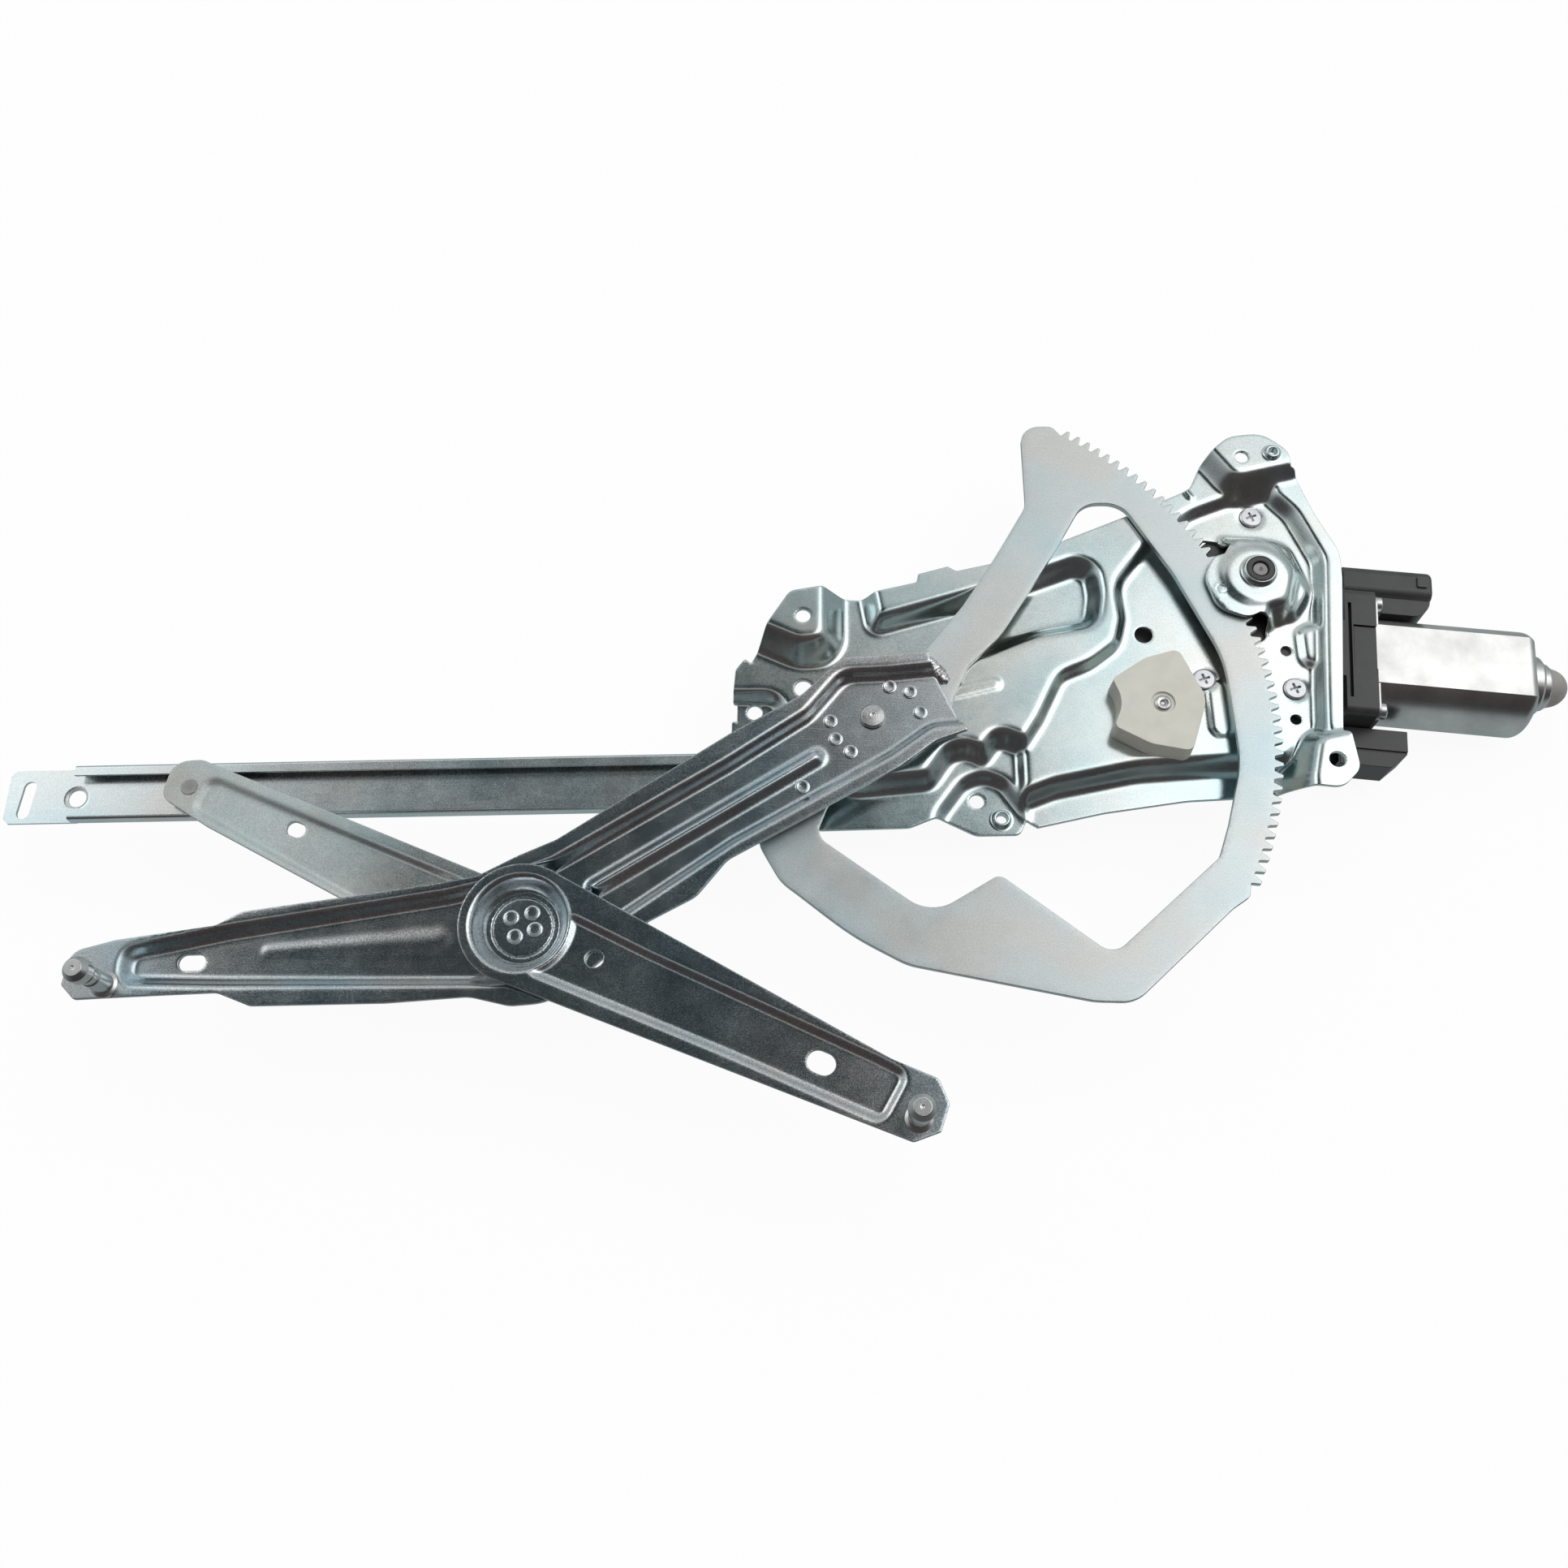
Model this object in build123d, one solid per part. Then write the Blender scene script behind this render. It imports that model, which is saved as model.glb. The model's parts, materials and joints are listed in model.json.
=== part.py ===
# Cross-arm window regulator with a worm-gear motor.
# Millimetres. +X runs along the guide rail towards the motor, +Y is up in the door,
# +Z points to the glass. The model is built about the main pivot with the outer face of
# the sector gear at z = 0, and every part is moved to the datum bolt hole at the end.
import os
from math import atan2, cos, degrees, hypot, pi, radians, sin, sqrt, tan

from build123d import *

os.makedirs("parts", exist_ok=True)

# ---------------------------------------------------------------- driving dimensions
module = 1.875              # gear module of sector and pinion
sector_full_teeth = 200     # teeth on the full circle of the sector
sector_cut_teeth = 47       # teeth that the sector really has
sector_first_angle = 57.75  # direction of the first tooth, from +X
pinion_teeth = 14
pinion_angle = 22.0         # direction from the main pivot to the pinion
pressure_angle = 20.0
backlash = 0.35             # taken off each tooth's width at the pitch circle

sheet = 2.0                 # thickness of the arms and the base plate
sector_sheet = 3.0
rail_sheet = 1.5

# heights of the outer faces over the sector gear's outer face
arm_floor = 2.0
arm_lip = 8.0
dish_floor = 4.3
idler_floor = 10.6
idler_lip = 12.8
rear_lip = -0.5
rear_floor = -2.5
rail_lip = -5.4
rail_back = -12.4
plate_shelf = -3.8
plate_pan = -8.6
plate_left = -12.4
plate_foot = -17.6
plate_pad = -18.4
rim_height = -1.6
left_lug_height = 1.0
top_lug_height = 5.4
right_lug_height = 0.0
bridge_height = 3.5
bridge_hub_height = 4.8        # the raised round round the pinion's collar
collar_height = 8.0

# linkage
scissor = (-155.8, -103.1)      # scissor pivot
lift_pin = (-336.2, -131.0)     # glass-channel pin on the lift arm
idler_pin = (16.8, -186.6)      # glass-channel pin on the idler arm
rail_pin = (-319.3, -34.2)      # pin that runs in the guide rail
rail_slope = 1.2                # degrees
rail_above_pin = 0.7            # the rail's centre line passes this far over the pin at rest
lift_stud_height = 30.0

pivot_radius = 4.0
pivot_bush_radius = 5.0
hub_radius = 13.3
hub_gap = 0.3

# guide rail
rail_width = 27.5
rail_slot = 17.0
rail_left = -378.0
rail_right = -34.0
tab_left = -411.5

# motor
pinion_distance = module * (sector_full_teeth + pinion_teeth) / 2
pinion_x = pinion_distance * cos(radians(pinion_angle))
pinion_y = pinion_distance * sin(radians(pinion_angle))
worm_module = 0.75
wheel_teeth = 60
worm_distance = 28.3            # between the armature's axis and the pinion's
motor_slope = -6.0              # direction of the armature from +X
motor_height = -34.0            # the armature's axis
can_width = 52.0
can_thick = 41.6
can_wall = 1.8
can_start = 60.0                # measured along the armature from the point next to the pinion
can_end = 137.0
flange_half = 34.0
flange_screw_y = 28.9
flange_screw_z = 16.2
gearbox_top = plate_pan - sheet
gearbox_bottom = -50.0

# datum: the bolt hole of the left lug, on the lug's outer face
datum = (-33.1, 54.6, left_lug_height)

wall_draft = 38.0               # slope of pressed walls, from the vertical
arm_draft = 28.0


# ---------------------------------------------------------------- helpers
def outline(corners):
    """A face from (x, y, corner radius) corners, with an arc at each rounded corner."""
    spans = []
    for i, (x, y, radius) in enumerate(corners):
        here = Vector(x, y)
        back = Vector(*corners[i - 1][:2]) - here
        ahead = Vector(*corners[(i + 1) % len(corners)][:2]) - here
        half = radians(back.get_angle(ahead)) / 2
        if radius == 0 or half > 1.565:
            spans.append((here, here, here))
            continue
        cut = radius / tan(half)
        middle = (back.normalized() + ahead.normalized()).normalized()
        spans.append((here + back.normalized() * cut,
                      here + middle * (radius / sin(half) - radius),
                      here + ahead.normalized() * cut))
    edges = []
    for i, (start, middle, end) in enumerate(spans):
        if (end - start).length > 1e-6:
            edges.append(ThreePointArc(start, middle, end))
        following = spans[(i + 1) % len(spans)][0]
        if (following - end).length > 1e-5:
            edges.append(Line(end, following))
    return Face(Wire(edges))


def prism(face, bottom, top):
    return extrude(face.moved(Location((0, 0, bottom))), top - bottom, dir=(0, 0, 1))


def disc(center, radius, bottom, top):
    return Pos(center[0], center[1], (bottom + top) / 2) * Cylinder(radius, top - bottom)


def ring(center, outer, inner, bottom, top):
    return disc(center, outer, bottom, top) - disc(center, inner, bottom - 1, top + 1)


def grown(corners, by):
    """The same outline with every side moved outwards, and its corner radii with it."""
    points = [Vector(x, y) for x, y, _ in corners]
    area = sum(a.X * b.Y - b.X * a.Y for a, b in zip(points, points[1:] + points[:1]))
    side = 1 if area > 0 else -1
    moved = []
    for i, point in enumerate(points):
        before = (point - points[i - 1]).normalized()
        after = (points[(i + 1) % len(points)] - point).normalized()
        normal = Vector(before.Y, -before.X) * side
        miter = (normal + Vector(after.Y, -after.X) * side).normalized()
        place = point + miter * (by / miter.dot(normal))
        turn = (before.X * after.Y - before.Y * after.X) * side
        radius = corners[i][2]
        if radius > 0:
            radius = radius + by if turn > 0 else max(radius - by, 0.3)
        moved.append((place.X, place.Y, radius))
    return moved


def drafted(corners, height, far_height, draft):
    """A solid that has the outline at one height and flares to the other height."""
    flare = abs(far_height - height) * tan(radians(draft))
    near = outline(corners).moved(Location((0, 0, height)))
    far = outline(grown(corners, flare)).moved(Location((0, 0, far_height)))
    return loft([near, far], ruled=True)


def slot_hole(center, length, width, angle, bottom, top):
    face = Location((center[0], center[1], 0), (0, 0, angle)) * SlotOverall(length, width)
    return prism(face, bottom, top)


def pressed(form, thickness=sheet):
    """A sheet pressed over a form: the form's outer skin, one thickness deep."""
    return form - form.moved(Location((0, 0, -thickness)))


def turned(profile, center=(0, 0)):
    """Revolves (radius, height) points about a vertical axis."""
    face = make_face(Polyline(*[(r, 0, z) for r, z in profile], close=True))
    return revolve(face, Axis.Z).moved(Location((center[0], center[1], 0)))


def polar(radius, angle, origin=(0, 0)):
    return (origin[0] + radius * cos(radians(angle)), origin[1] + radius * sin(radians(angle)))


def save(name, *pieces):
    """Writes one sub-part, moved so that the datum is the origin."""
    solids = [solid for piece in pieces for solid in piece.solids()]
    item = solids[0] if len(solids) == 1 else Compound(solids)
    moved = item.moved(Location((-datum[0], -datum[1], -datum[2])))
    moved.label = name
    export_step(moved, f"parts/{name}.step")


# ---------------------------------------------------------------- gears
def involute(base, radius):
    """Roll angle, in radians, of the involute of a base circle at a radius."""
    slope = sqrt(max((radius / base) ** 2 - 1, 0.0))
    return slope - atan2(slope, 1)


def tooth_half_angle(teeth, radius, thin):
    """Half the angle that a tooth covers at a radius, in degrees."""
    pitch = module * teeth / 2
    base = pitch * cos(radians(pressure_angle))
    half_at_pitch = (pi * module / 2 - thin) / 2 / pitch
    roll = involute(base, pitch) - involute(base, max(radius, base))
    return degrees(half_at_pitch + roll)


def tooth_side(teeth, radii, thin):
    return [(radius, tooth_half_angle(teeth, radius, thin)) for radius in radii]


def gear_edge(teeth, angles, root, radii, thin):
    """Points along gear teeth at the given directions, falling angle first."""
    side = tooth_side(teeth, radii, thin)
    points = []
    for angle in angles:
        points.append(polar(root, angle + side[0][1] + 0.06 * 360 / teeth))
        points += [polar(radius, angle + half) for radius, half in side]
        points += [polar(radius, angle - half) for radius, half in reversed(side)]
        points.append(polar(root, angle - side[0][1] - 0.06 * 360 / teeth))
    return points


# ---------------------------------------------------------------- sector gear
sector_pitch = module * sector_full_teeth / 2
sector_tip = sector_pitch + module * 0.95
sector_root = sector_pitch - module * 1.2
tooth_step = 360 / sector_full_teeth

# rivet points that join the sector to the lift arm
clinch_points = [(8.0, 15.6), (17.5, 12.9), (22.2, 2.3), (-19.8, -2.2), (-17.3, -11.3),
                 (-10.4, -17.7), (-32.5, -35.2)]
clinch_radius = 2.0


def sector_gear():
    angles = [sector_first_angle - tooth_step * i for i in range(sector_cut_teeth)]
    flank = [sector_root + 0.5, sector_pitch, sector_tip]
    teeth = gear_edge(sector_full_teeth, angles, sector_root, flank, backlash / 2)
    before_teeth = [(77.0, 116.0, 14), (76.6, 163.8, 9.5), (92.6, 163.4, 5)]
    after_teeth = [
        (166.0, -86.5, 4), (157.0, -93.0, 0), (112.0, -134.5, 16), (92.0, -133.4, 0),
        (14.0, -118.0, 30), (-6.0, -107.0, 0), (-42.0, -80.0, 22), (-53.5, -60.0, 14),
        (-44.0, -30.0, 20), (-34.0, 0.0, 18), (-10.0, 22.0, 12), (24.0, 34.0, 6),
        (44.0, 60.0, 14), (58.7, 83.6, 0),
    ]
    plate = outline(before_teeth + [(x, y, 0) for x, y in teeth] + after_teeth)
    window = outline([
        (45.5, 27.5, 7), (60.5, 42.5, 12), (92.0, 93.9, 0), (105.0, 117.3, 12), (124.0, 117.6, 14),
        (146.5, 77.5, 60), (166.5, 31.0, 60), (168.6, -22.0, 60), (160.2, -52.0, 40),
        (154.5, -68.0, 8), (104.0, -113.4, 8.5), (56.0, -76.4, 5), (25.0, -95.5, 18),
        (-26.5, -58.0, 8), (-20.0, -41.0, 14), (20.0, -14.0, 26), (36.0, 6.0, 20),
    ])
    gear = prism(plate - window, -sector_sheet, 0)
    gear -= disc((0, 0), pivot_bush_radius, -10, 10)
    for point in clinch_points:
        gear -= disc(point, clinch_radius, -10, 10)
    return gear


# ---------------------------------------------------------------- lift arm
arm_edge = [
    (-356.4, -131.0, 2), (-354.8, -116.0, 8), (-336.0, -110.6, 12), (-292.0, -103.6, 8),
    (-281.5, -97.4, 10), (-197.0, -84.2, 25), (-178.0, -80.6, 16), (-160.0, -70.8, 20),
    (-143.0, -63.0, 16), (-65.5, -10.4, 40), (-33.0, 9.0, 20), (-14.0, 28.4, 12), (6.0, 29.6, 30),
    (26.6, 31.6, 0), (27.0, 27.4, 0), (43.4, -9.0, 0), (29.0, -14.2, 14), (12.0, -27.4, 20),
    (-65.6, -72.4, 14), (-79.0, -89.6, 14), (-99.5, -101.0, 12), (-140.0, -137.5, 25),
    (-158.0, -139.2, 16), (-176.0, -135.2, 20), (-212.0, -138.2, 20), (-271.5, -139.8, 6), (-287.0, -134.0, 8),
    (-333.0, -136.4, 20), (-349.6, -137.4, 2),
]
arm_channel = [
    (-329.0, -127.0, 4), (-328.8, -116.8, 4), (-286.0, -107.4, 30), (-190.0, -91.0, 30),
    (-172.0, -86.5, 14), (-143.0, -75.5, 20), (-66.0, -27.0, 40), (-29.0, -1.5, 16),
    (-13.0, 18.6, 10), (8.0, 19.6, 20), (60.0, 25.0, 0), (62.0, -1.0, 0), (27.0, -3.6, 14),
    (7.0, -18.6, 20), (-64.0, -61.0, 30), (-112.0, -95.6, 20), (-141.0, -123.0, 22),
    (-166.0, -126.5, 20), (-286.0, -127.4, 30),
]


def lift_arm():
    form = prism(outline(arm_edge), -30, arm_lip)
    form -= drafted(arm_channel, arm_floor, arm_lip + 1, arm_draft)
    form += drafted([(-26.2, -19.3, 0.6), (-126.7, -83.6, 0.6), (-125.4, -85.6, 0.6),
                     (-24.9, -21.3, 0.6)], arm_floor + 3.6, arm_floor - 6, wall_draft)
    arm = pressed(form)
    arm -= disc((0, 0), pivot_bush_radius, -10, 20)
    arm -= disc(scissor, hub_radius + hub_gap, -10, 20)
    arm -= disc(lift_pin, stud_neck, -10, 20)
    arm -= slot_hole((-302.6, -119.2), 12.4, 7.4, 2, -10, 20)
    for point in clinch_points:
        arm -= disc(point, clinch_radius, -10, 20)
    return arm


def clinch_rivets():
    """Rivets through arm and sector, with a raised ring head and a flush tail."""
    low = -sector_sheet
    return [turned([(0, low), (clinch_radius, low), (clinch_radius, arm_floor),
                    (3.5, arm_floor), (3.4, arm_floor + 0.5), (2.6, arm_floor + 0.7),
                    (2.0, arm_floor + 0.4), (0, arm_floor + 0.3)], point)
            for point in clinch_points]


def weld_bead(arm):
    """A short run of weld from the arm's end on to the sector."""
    bead = Pos(28.4, 26.4, 0) * Sphere(2.6)
    for x, y, radius in ((29.6, 24.6, 2.8), (30.9, 22.6, 2.6), (33.2, 21.2, 2.2), (35.2, 20.6, 1.7)):
        bead += Pos(x, y, 0) * Sphere(radius)
    bead -= Pos(30, 24, -10) * Box(40, 40, 20)
    return bead - arm


# ---------------------------------------------------------------- glass-channel studs
stud_neck = 4.0


def glass_stud(center, seat, under):
    """A riveted stud with a grooved shank and a chamfered head, standing on its seat."""
    top = seat + lift_stud_height
    return turned([
        (0, under - 1.6), (5.0, under - 1.6), (5.4, under), (stud_neck, under),
        (stud_neck, seat), (6.0, seat), (6.0, seat + 1.6), (4.4, seat + 2.4), (4.4, top - 16.0),
        (3.7, top - 15.2), (3.7, top - 13.8), (4.2, top - 13.2), (4.2, top - 11.2),
        (3.7, top - 10.6), (3.7, top - 9.0), (5.6, top - 7.6), (5.6, top - 2.6),
        (3.9, top - 0.3), (3.7, top), (0.9, top), (0, top - 0.5)], center)


# ---------------------------------------------------------------- pivots
def pivot_stud():
    """The main pivot: riveted behind the plate, headed over the bush."""
    back = plate_shelf - sheet
    head = bush_top + 0.3
    return turned([
        (0, back - 2.4), (6.0, back - 2.4), (7.0, back - 1.4), (7.0, back), (pivot_radius, back),
        (pivot_radius, head), (6.1, head), (6.1, head + 0.8), (5.3, head + 1.7),
        (1.2, head + 1.9), (0, head + 1.2)])


bush_top = arm_floor + 0.2


def pivot_bush():
    return ring((0, 0), pivot_bush_radius, pivot_radius + 0.05, plate_shelf + 0.25, bush_top)


# ---------------------------------------------------------------- idler arms
idler_round = 27.0
rear_round = 26.0
hub_rivet_points = [(-161.2, -98.8), (-151.9, -96.5), (-150.2, -104.2), (-158.8, -107.4)]
hub_rivet_radius = 2.5


def tangent_corner(center, radius, point, side):
    """The point where a line from a point touches a circle, on the +1 or -1 side."""
    dx, dy = point[0] - center[0], point[1] - center[1]
    reach = hypot(dx, dy)
    turn = side * degrees(atan2(sqrt(reach ** 2 - radius ** 2), radius))
    return polar(radius, degrees(atan2(dy, dx)) + turn, center)


def around_pivot(radius, upper, lower):
    """Corners that wrap the scissor pivot between two straight arm edges."""
    top = tangent_corner(scissor, radius, upper, 1)
    low = tangent_corner(scissor, radius, lower, -1)
    return top, low


def idler_arm_front():
    top, low = around_pivot(idler_round, (6.0, -161.8), (-71.3, -163.6))
    body = outline([(*top, 0), (*low, 0), (14.6, -196.0, 3), (25.9, -191.8, 1.5),
                    (29.8, -180.4, 3), (25.6, -170.0, 4), (6.0, -161.8, 20)])
    form = prism(body, -30, idler_lip) + disc(scissor, idler_round, -30, idler_lip)
    form -= drafted([(-150.0, -92.6, 4), (-98.0, -118.2, 0), (-0.2, -162.6, 5),
                     (11.6, -168.6, 3.5), (1.6, -186.6, 3.5), (-61.7, -159.6, 0),
                     (-150.0, -124.2, 4)], idler_floor, idler_lip + 1, arm_draft)
    form += turned([(0, 0), (24.0, 0), (24.0, idler_floor), (21.9, idler_lip), (0, idler_lip)],
                   scissor)
    form -= turned([(0, dish_floor), (17.6, dish_floor), (22.0, idler_lip + 1.0),
                    (0, idler_lip + 1.0)], scissor)
    arm = pressed(form)
    arm -= ring(scissor, hub_radius + 0.25, hub_radius - 0.25, dish_floor - 0.25, dish_floor + 1)
    for point in hub_rivet_points:
        arm -= disc(point, hub_rivet_radius, -10, 30)
    arm -= disc(idler_pin, stud_neck, -10, 30)
    arm -= disc((-122.0, -118.8), 4.0, -10, 30)
    arm -= slot_hole((-23.4, -163.3), 12.5, 9.6, -22, -10, 30)
    return arm


def idler_arm_rear():
    low = tangent_corner(scissor, rear_round, (-308.0, -53.7), 1)
    body = outline([(-332.2, -39.0, 7), (-328.8, -21.4, 9), (-315.6, -20.2, 8), (-158.0, -84.4, 6),
                    (-148.0, -104.0, 0), (*low, 0), (-308.0, -53.7, 20)])
    form = prism(body, -30, rear_lip) + disc(scissor, rear_round, -30, rear_lip)
    form -= drafted([(-309.4, -30.4, 4), (-281.8, -41.9, 0), (-185.0, -81.6, 4),
                     (-196.0, -108.4, 4), (-278.4, -64.5, 0), (-315.2, -44.4, 4)],
                    rear_floor, rear_lip + 1, wall_draft)
    arm = pressed(form)
    for point in hub_rivet_points:
        arm -= disc(point, hub_rivet_radius, -10, 30)
    arm -= disc(rail_pin, rail_pin_radius, -10, 30)
    arm -= slot_hole((-266.6, -54.6), 9.2, 7.0, -22, -10, 30)
    return arm


def idler_hub():
    """The disc between both idler arms, which turns in the lift arm's round hole."""
    hub = disc(scissor, hub_radius, rear_lip, dish_floor - sheet)
    for point in hub_rivet_points:
        hub -= disc(point, hub_rivet_radius, -10, 30)
    return hub


def hub_rivets():
    low = rear_lip - sheet
    return [turned([(0, low - 1.0), (3.2, low - 1.0), (3.6, low), (hub_rivet_radius, low),
                    (hub_rivet_radius, dish_floor), (3.7, dish_floor), (3.5, dish_floor + 0.5),
                    (2.5, dish_floor + 0.8), (2.0, dish_floor + 0.4), (0, dish_floor + 0.3)],
                   point)
            for point in hub_rivet_points]


# ---------------------------------------------------------------- rail pin and roller
rail_pin_radius = 2.8
roller_radius = 7.2
roller_bore = 3.05


def rail_pin_part():
    """Riveted in the rear idler arm; carries the roller inside the rail."""
    low = rear_lip - sheet
    return turned([
        (0, -10.6), (4.4, -10.6), (4.4, -10.0), (roller_bore - 0.05, -10.0),
        (roller_bore - 0.05, -7.0), (3.5, -7.0), (3.5, low), (rail_pin_radius, low),
        (rail_pin_radius, rear_lip), (4.1, rear_lip), (4.0, rear_lip + 0.12),
        (3.4, rear_lip + 0.2), (0, rear_lip + 0.2)], rail_pin)


def rail_roller():
    return turned([(roller_bore, -9.9), (roller_radius - 0.5, -9.9), (roller_radius, -9.4),
                   (roller_radius, -7.6), (roller_radius - 0.5, -7.1), (roller_bore, -7.1)],
                  rail_pin)


# ---------------------------------------------------------------- guide rail
def on_rail(shape):
    """Moves a shape drawn along +X, about the rail pin's place on the centre line."""
    return shape.moved(Location((rail_pin[0], rail_pin[1] + rail_above_pin, 0),
                                (0, 0, rail_slope)))


rail_rivet_points = [(-66.0, -27.0), (-44.0, -27.0)]


def guide_rail():
    start = rail_left - rail_pin[0]
    end = rail_right - rail_pin[0]
    tab = tab_left - rail_pin[0]
    half = rail_width / 2
    inner = half - rail_sheet
    mid = (rail_lip + rail_back) / 2
    depth = rail_lip - rail_back
    outer = Pos((start + end) / 2, 0, mid) * Box(end - start, rail_width, depth)
    outer = fillet(outer.edges().filter_by(Axis.X), 1.6)
    hollow = Pos((start + end) / 2, 0, mid) * Box(end - start + 2, 2 * inner, depth - 2 * rail_sheet)
    slot = Pos((start + end) / 2, 0, rail_lip) * Box(end - start + 2, rail_slot, 4)
    rail = outer - hollow - slot
    web = rail_back + rail_sheet / 2
    flat = Pos((start + tab) / 2 + 1, 0, web) * Box(start - tab + 2, rail_width - 0.6, rail_sheet)
    flat = chamfer(flat.edges().filter_by(Axis.Z).group_by(Axis.X)[0], 2.4)
    rail += flat
    dimple = -377.8 - rail_pin[0]
    rail += Pos(dimple, -1, 0) * turned([(0, rail_back), (7.4, rail_back), (7.4, rail_back + 1.5),
                                         (0, rail_back + 1.5)])
    rail -= Pos(dimple, -1, 0) * turned([(0, -20), (4.3, -20), (4.3, rail_back + 0.8),
                                         (6.6, rail_back + 1.6), (0, rail_back + 1.6)])
    rail -= slot_hole((-401.9 - rail_pin[0], -1.6), 19.0, 6.2, 84, -20, 0)
    rail = on_rail(rail)
    for point in rail_rivet_points:
        rail -= disc(point, 2.5, -20, 0)
    return rail


def rail_rivets():
    web = rail_back + rail_sheet
    back = plate_left - sheet
    return [turned([(0, back - 1.2), (3.4, back - 1.2), (3.9, back), (2.5, back), (2.5, web),
                    (4.2, web), (3.8, web + 0.9), (2.4, web + 1.4), (0, web + 1.4)], point)
            for point in rail_rivet_points]


# ---------------------------------------------------------------- base plate
plate_edge = [
    (-67.4, -44.0, 8), (-24.0, -51.0, 12), (17.0, -49.6, 10), (31.6, -43.4, 8), (48.0, -51.6, 9),
    (68.4, -51.2, 4), (71.7, -44.4, 0.6), (76.8, -47.6, 1.5), (108.0, -40.4, 60),
    (147.0, -34.4, 60), (192.0, -31.8, 20), (213.6, -34.2, 9), (222.6, -25.0, 8),
    (220.8, -6.6, 2.4), (217.6, -5.4, 0), (219.7, 11.1, 40), (227.8, 76.0, 30), (228.2, 90.0, 20),
    (218.6, 112.0, 30), (211.0, 135.6, 1.5), (208.6, 136.0, 0.8), (207.6, 144.0, 9),
    (195.8, 154.4, 14), (179.0, 152.6, 14), (165.6, 140.6, 10), (159.6, 127.6, 8),
    (125.4, 111.6, 60), (94.0, 98.0, 60), (59.2, 85.6, 40), (42.0, 81.6, 2), (37.8, 84.2, 1.2),
    (23.2, 80.0, 1.2), (22.4, 75.4, 2), (-1.0, 69.8, 40), (-24.0, 71.2, 8), (-39.6, 68.4, 6),
    (-50.6, 50.6, 40), (-58.4, 35.6, 0.5), (-61.6, 38.2, 1.2), (-66.0, 32.0, 3), (-67.0, 16.2, 1),
    (-65.0, 16.0, 0.5), (-65.0, 7.2, 0.5), (-67.5, 7.0, 1),
]
plate_pan_floor = [
    (64.0, -14.0, 3), (68.0, -18.0, 6), (80.7, 2.0, 24), (91.0, 23.6, 10), (105.4, 29.8, 30),
    (119.5, 41.0, 14), (123.2, 56.0, 16), (121.6, 74.0, 16), (136.0, 93.0, 30),
    (160.0, 112.6, 30), (178.0, 119.8, 8), (204.0, 125.0, 0), (250.0, 125.0, 0),
    (250.0, -70.0, 0), (64.0, -70.0, 0),
]
plate_left_floor = [
    (104.0, 56.5, 5), (106.4, 70.0, 20), (105.0, 84.6, 5), (73.0, 72.0, 60), (22.7, 56.6, 40),
    (-1.0, 49.4, 6), (-8.0, 90.0, 0), (-95.0, 90.0, 0), (-95.0, -70.0, 0), (68.0, -70.0, 0),
    (68.0, -12.6, 2), (60.0, -9.0, 3), (52.5, -19.6, 4), (40.0, -13.0, 8), (28.0, -31.0, 10),
    (-12.0, -35.0, 14), (-29.0, -22.0, 14), (-31.5, 2.0, 14), (-24.0, 21.0, 12),
    (-4.0, 32.5, 14), (24.0, 34.0, 14), (54.0, 41.5, 30), (79.0, 52.0, 60),
]
plate_bottom_lip = [
    (72.5, -70.0, 0), (72.5, -38.4, 2), (86.0, -33.0, 15), (124.0, -24.8, 80),
    (168.0, -21.6, 30), (195.5, -21.0, 8), (213.5, -1.5, 6), (250.0, -1.5, 0),
    (250.0, -70.0, 0),
]
plate_lower_lug = [
    (28.0, -70.0, 0), (33.4, -43.0, 6), (44.0, -28.4, 8), (52.0, -25.0, 8), (60.0, -28.4, 6),
    (71.0, -44.6, 1), (71.4, -70.0, 0),
]
plate_pad_floor = [(-95.0, -12.0, 0), (-45.6, -12.0, 5), (-45.6, 16.4, 6), (-95.0, 16.4, 0)]
left_lug = [(-23.6, 95.0, 0), (-95.0, 95.0, 0), (-95.0, 71.0, 0), (-34.6, 43.2, 8),
            (-23.6, 44.0, 5)]
right_rim = [
    (201.5, 124.4, 4), (210.0, 114.4, 20), (220.6, 87.0, 14), (212.8, 18.0, 80),
    (210.4, -6.0, 4), (250.0, -12.0, 0), (250.0, 170.0, 0), (196.0, 170.0, 0),
]
right_lug_flat = [(206.4, -9.2, 5), (201.6, -28.0, 8), (199.0, -70.0, 0), (250.0, -70.0, 0),
                  (250.0, -1.0, 0)]
top_lug = [(180.4, 130.2, 5), (209.0, 137.0, 3), (250.0, 150.0, 0), (250.0, 190.0, 0),
           (141.0, 190.0, 0)]
bridge = [(150.0, 46.0, 0), (185.0, 49.0, 2), (189.4, 57.6, 3), (198.6, 60.4, 7),
          (203.8, 78.0, 9), (195.4, 93.6, 8), (176.0, 94.6, 3), (150.0, 96.0, 0)]
bridge_shoulder = [(176.0, 60.0, 0), (203.0, 57.6, 4), (211.0, 70.0, 6), (203.0, 95.0, 7),
                   (176.0, 98.0, 0)]
bridge_lip = [
    (175.4, 93.4, 0.6), (171.2, 86.4, 1), (165.2, 84.4, 6), (160.2, 73.6, 11), (165.2, 56.8, 12),
    (179.0, 51.4, 8), (184.8, 54.2, 0.6), (190.2, 53.8, 0.6),
]
bridge_cutout = bridge_lip + [(189.4, 45.8, 3), (183.0, 42.6, 4), (168.0, 48.0, 20),
                              (153.0, 68.0, 30), (152.4, 92.0, 14), (165.4, 100.8, 2),
                              (171.8, 99.8, 3)]
bridge_area = bridge_lip + [(192.0, 40.0, 0), (250.0, 40.0, 0), (250.0, 120.0, 0),
                            (170.0, 120.0, 0)]
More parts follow.
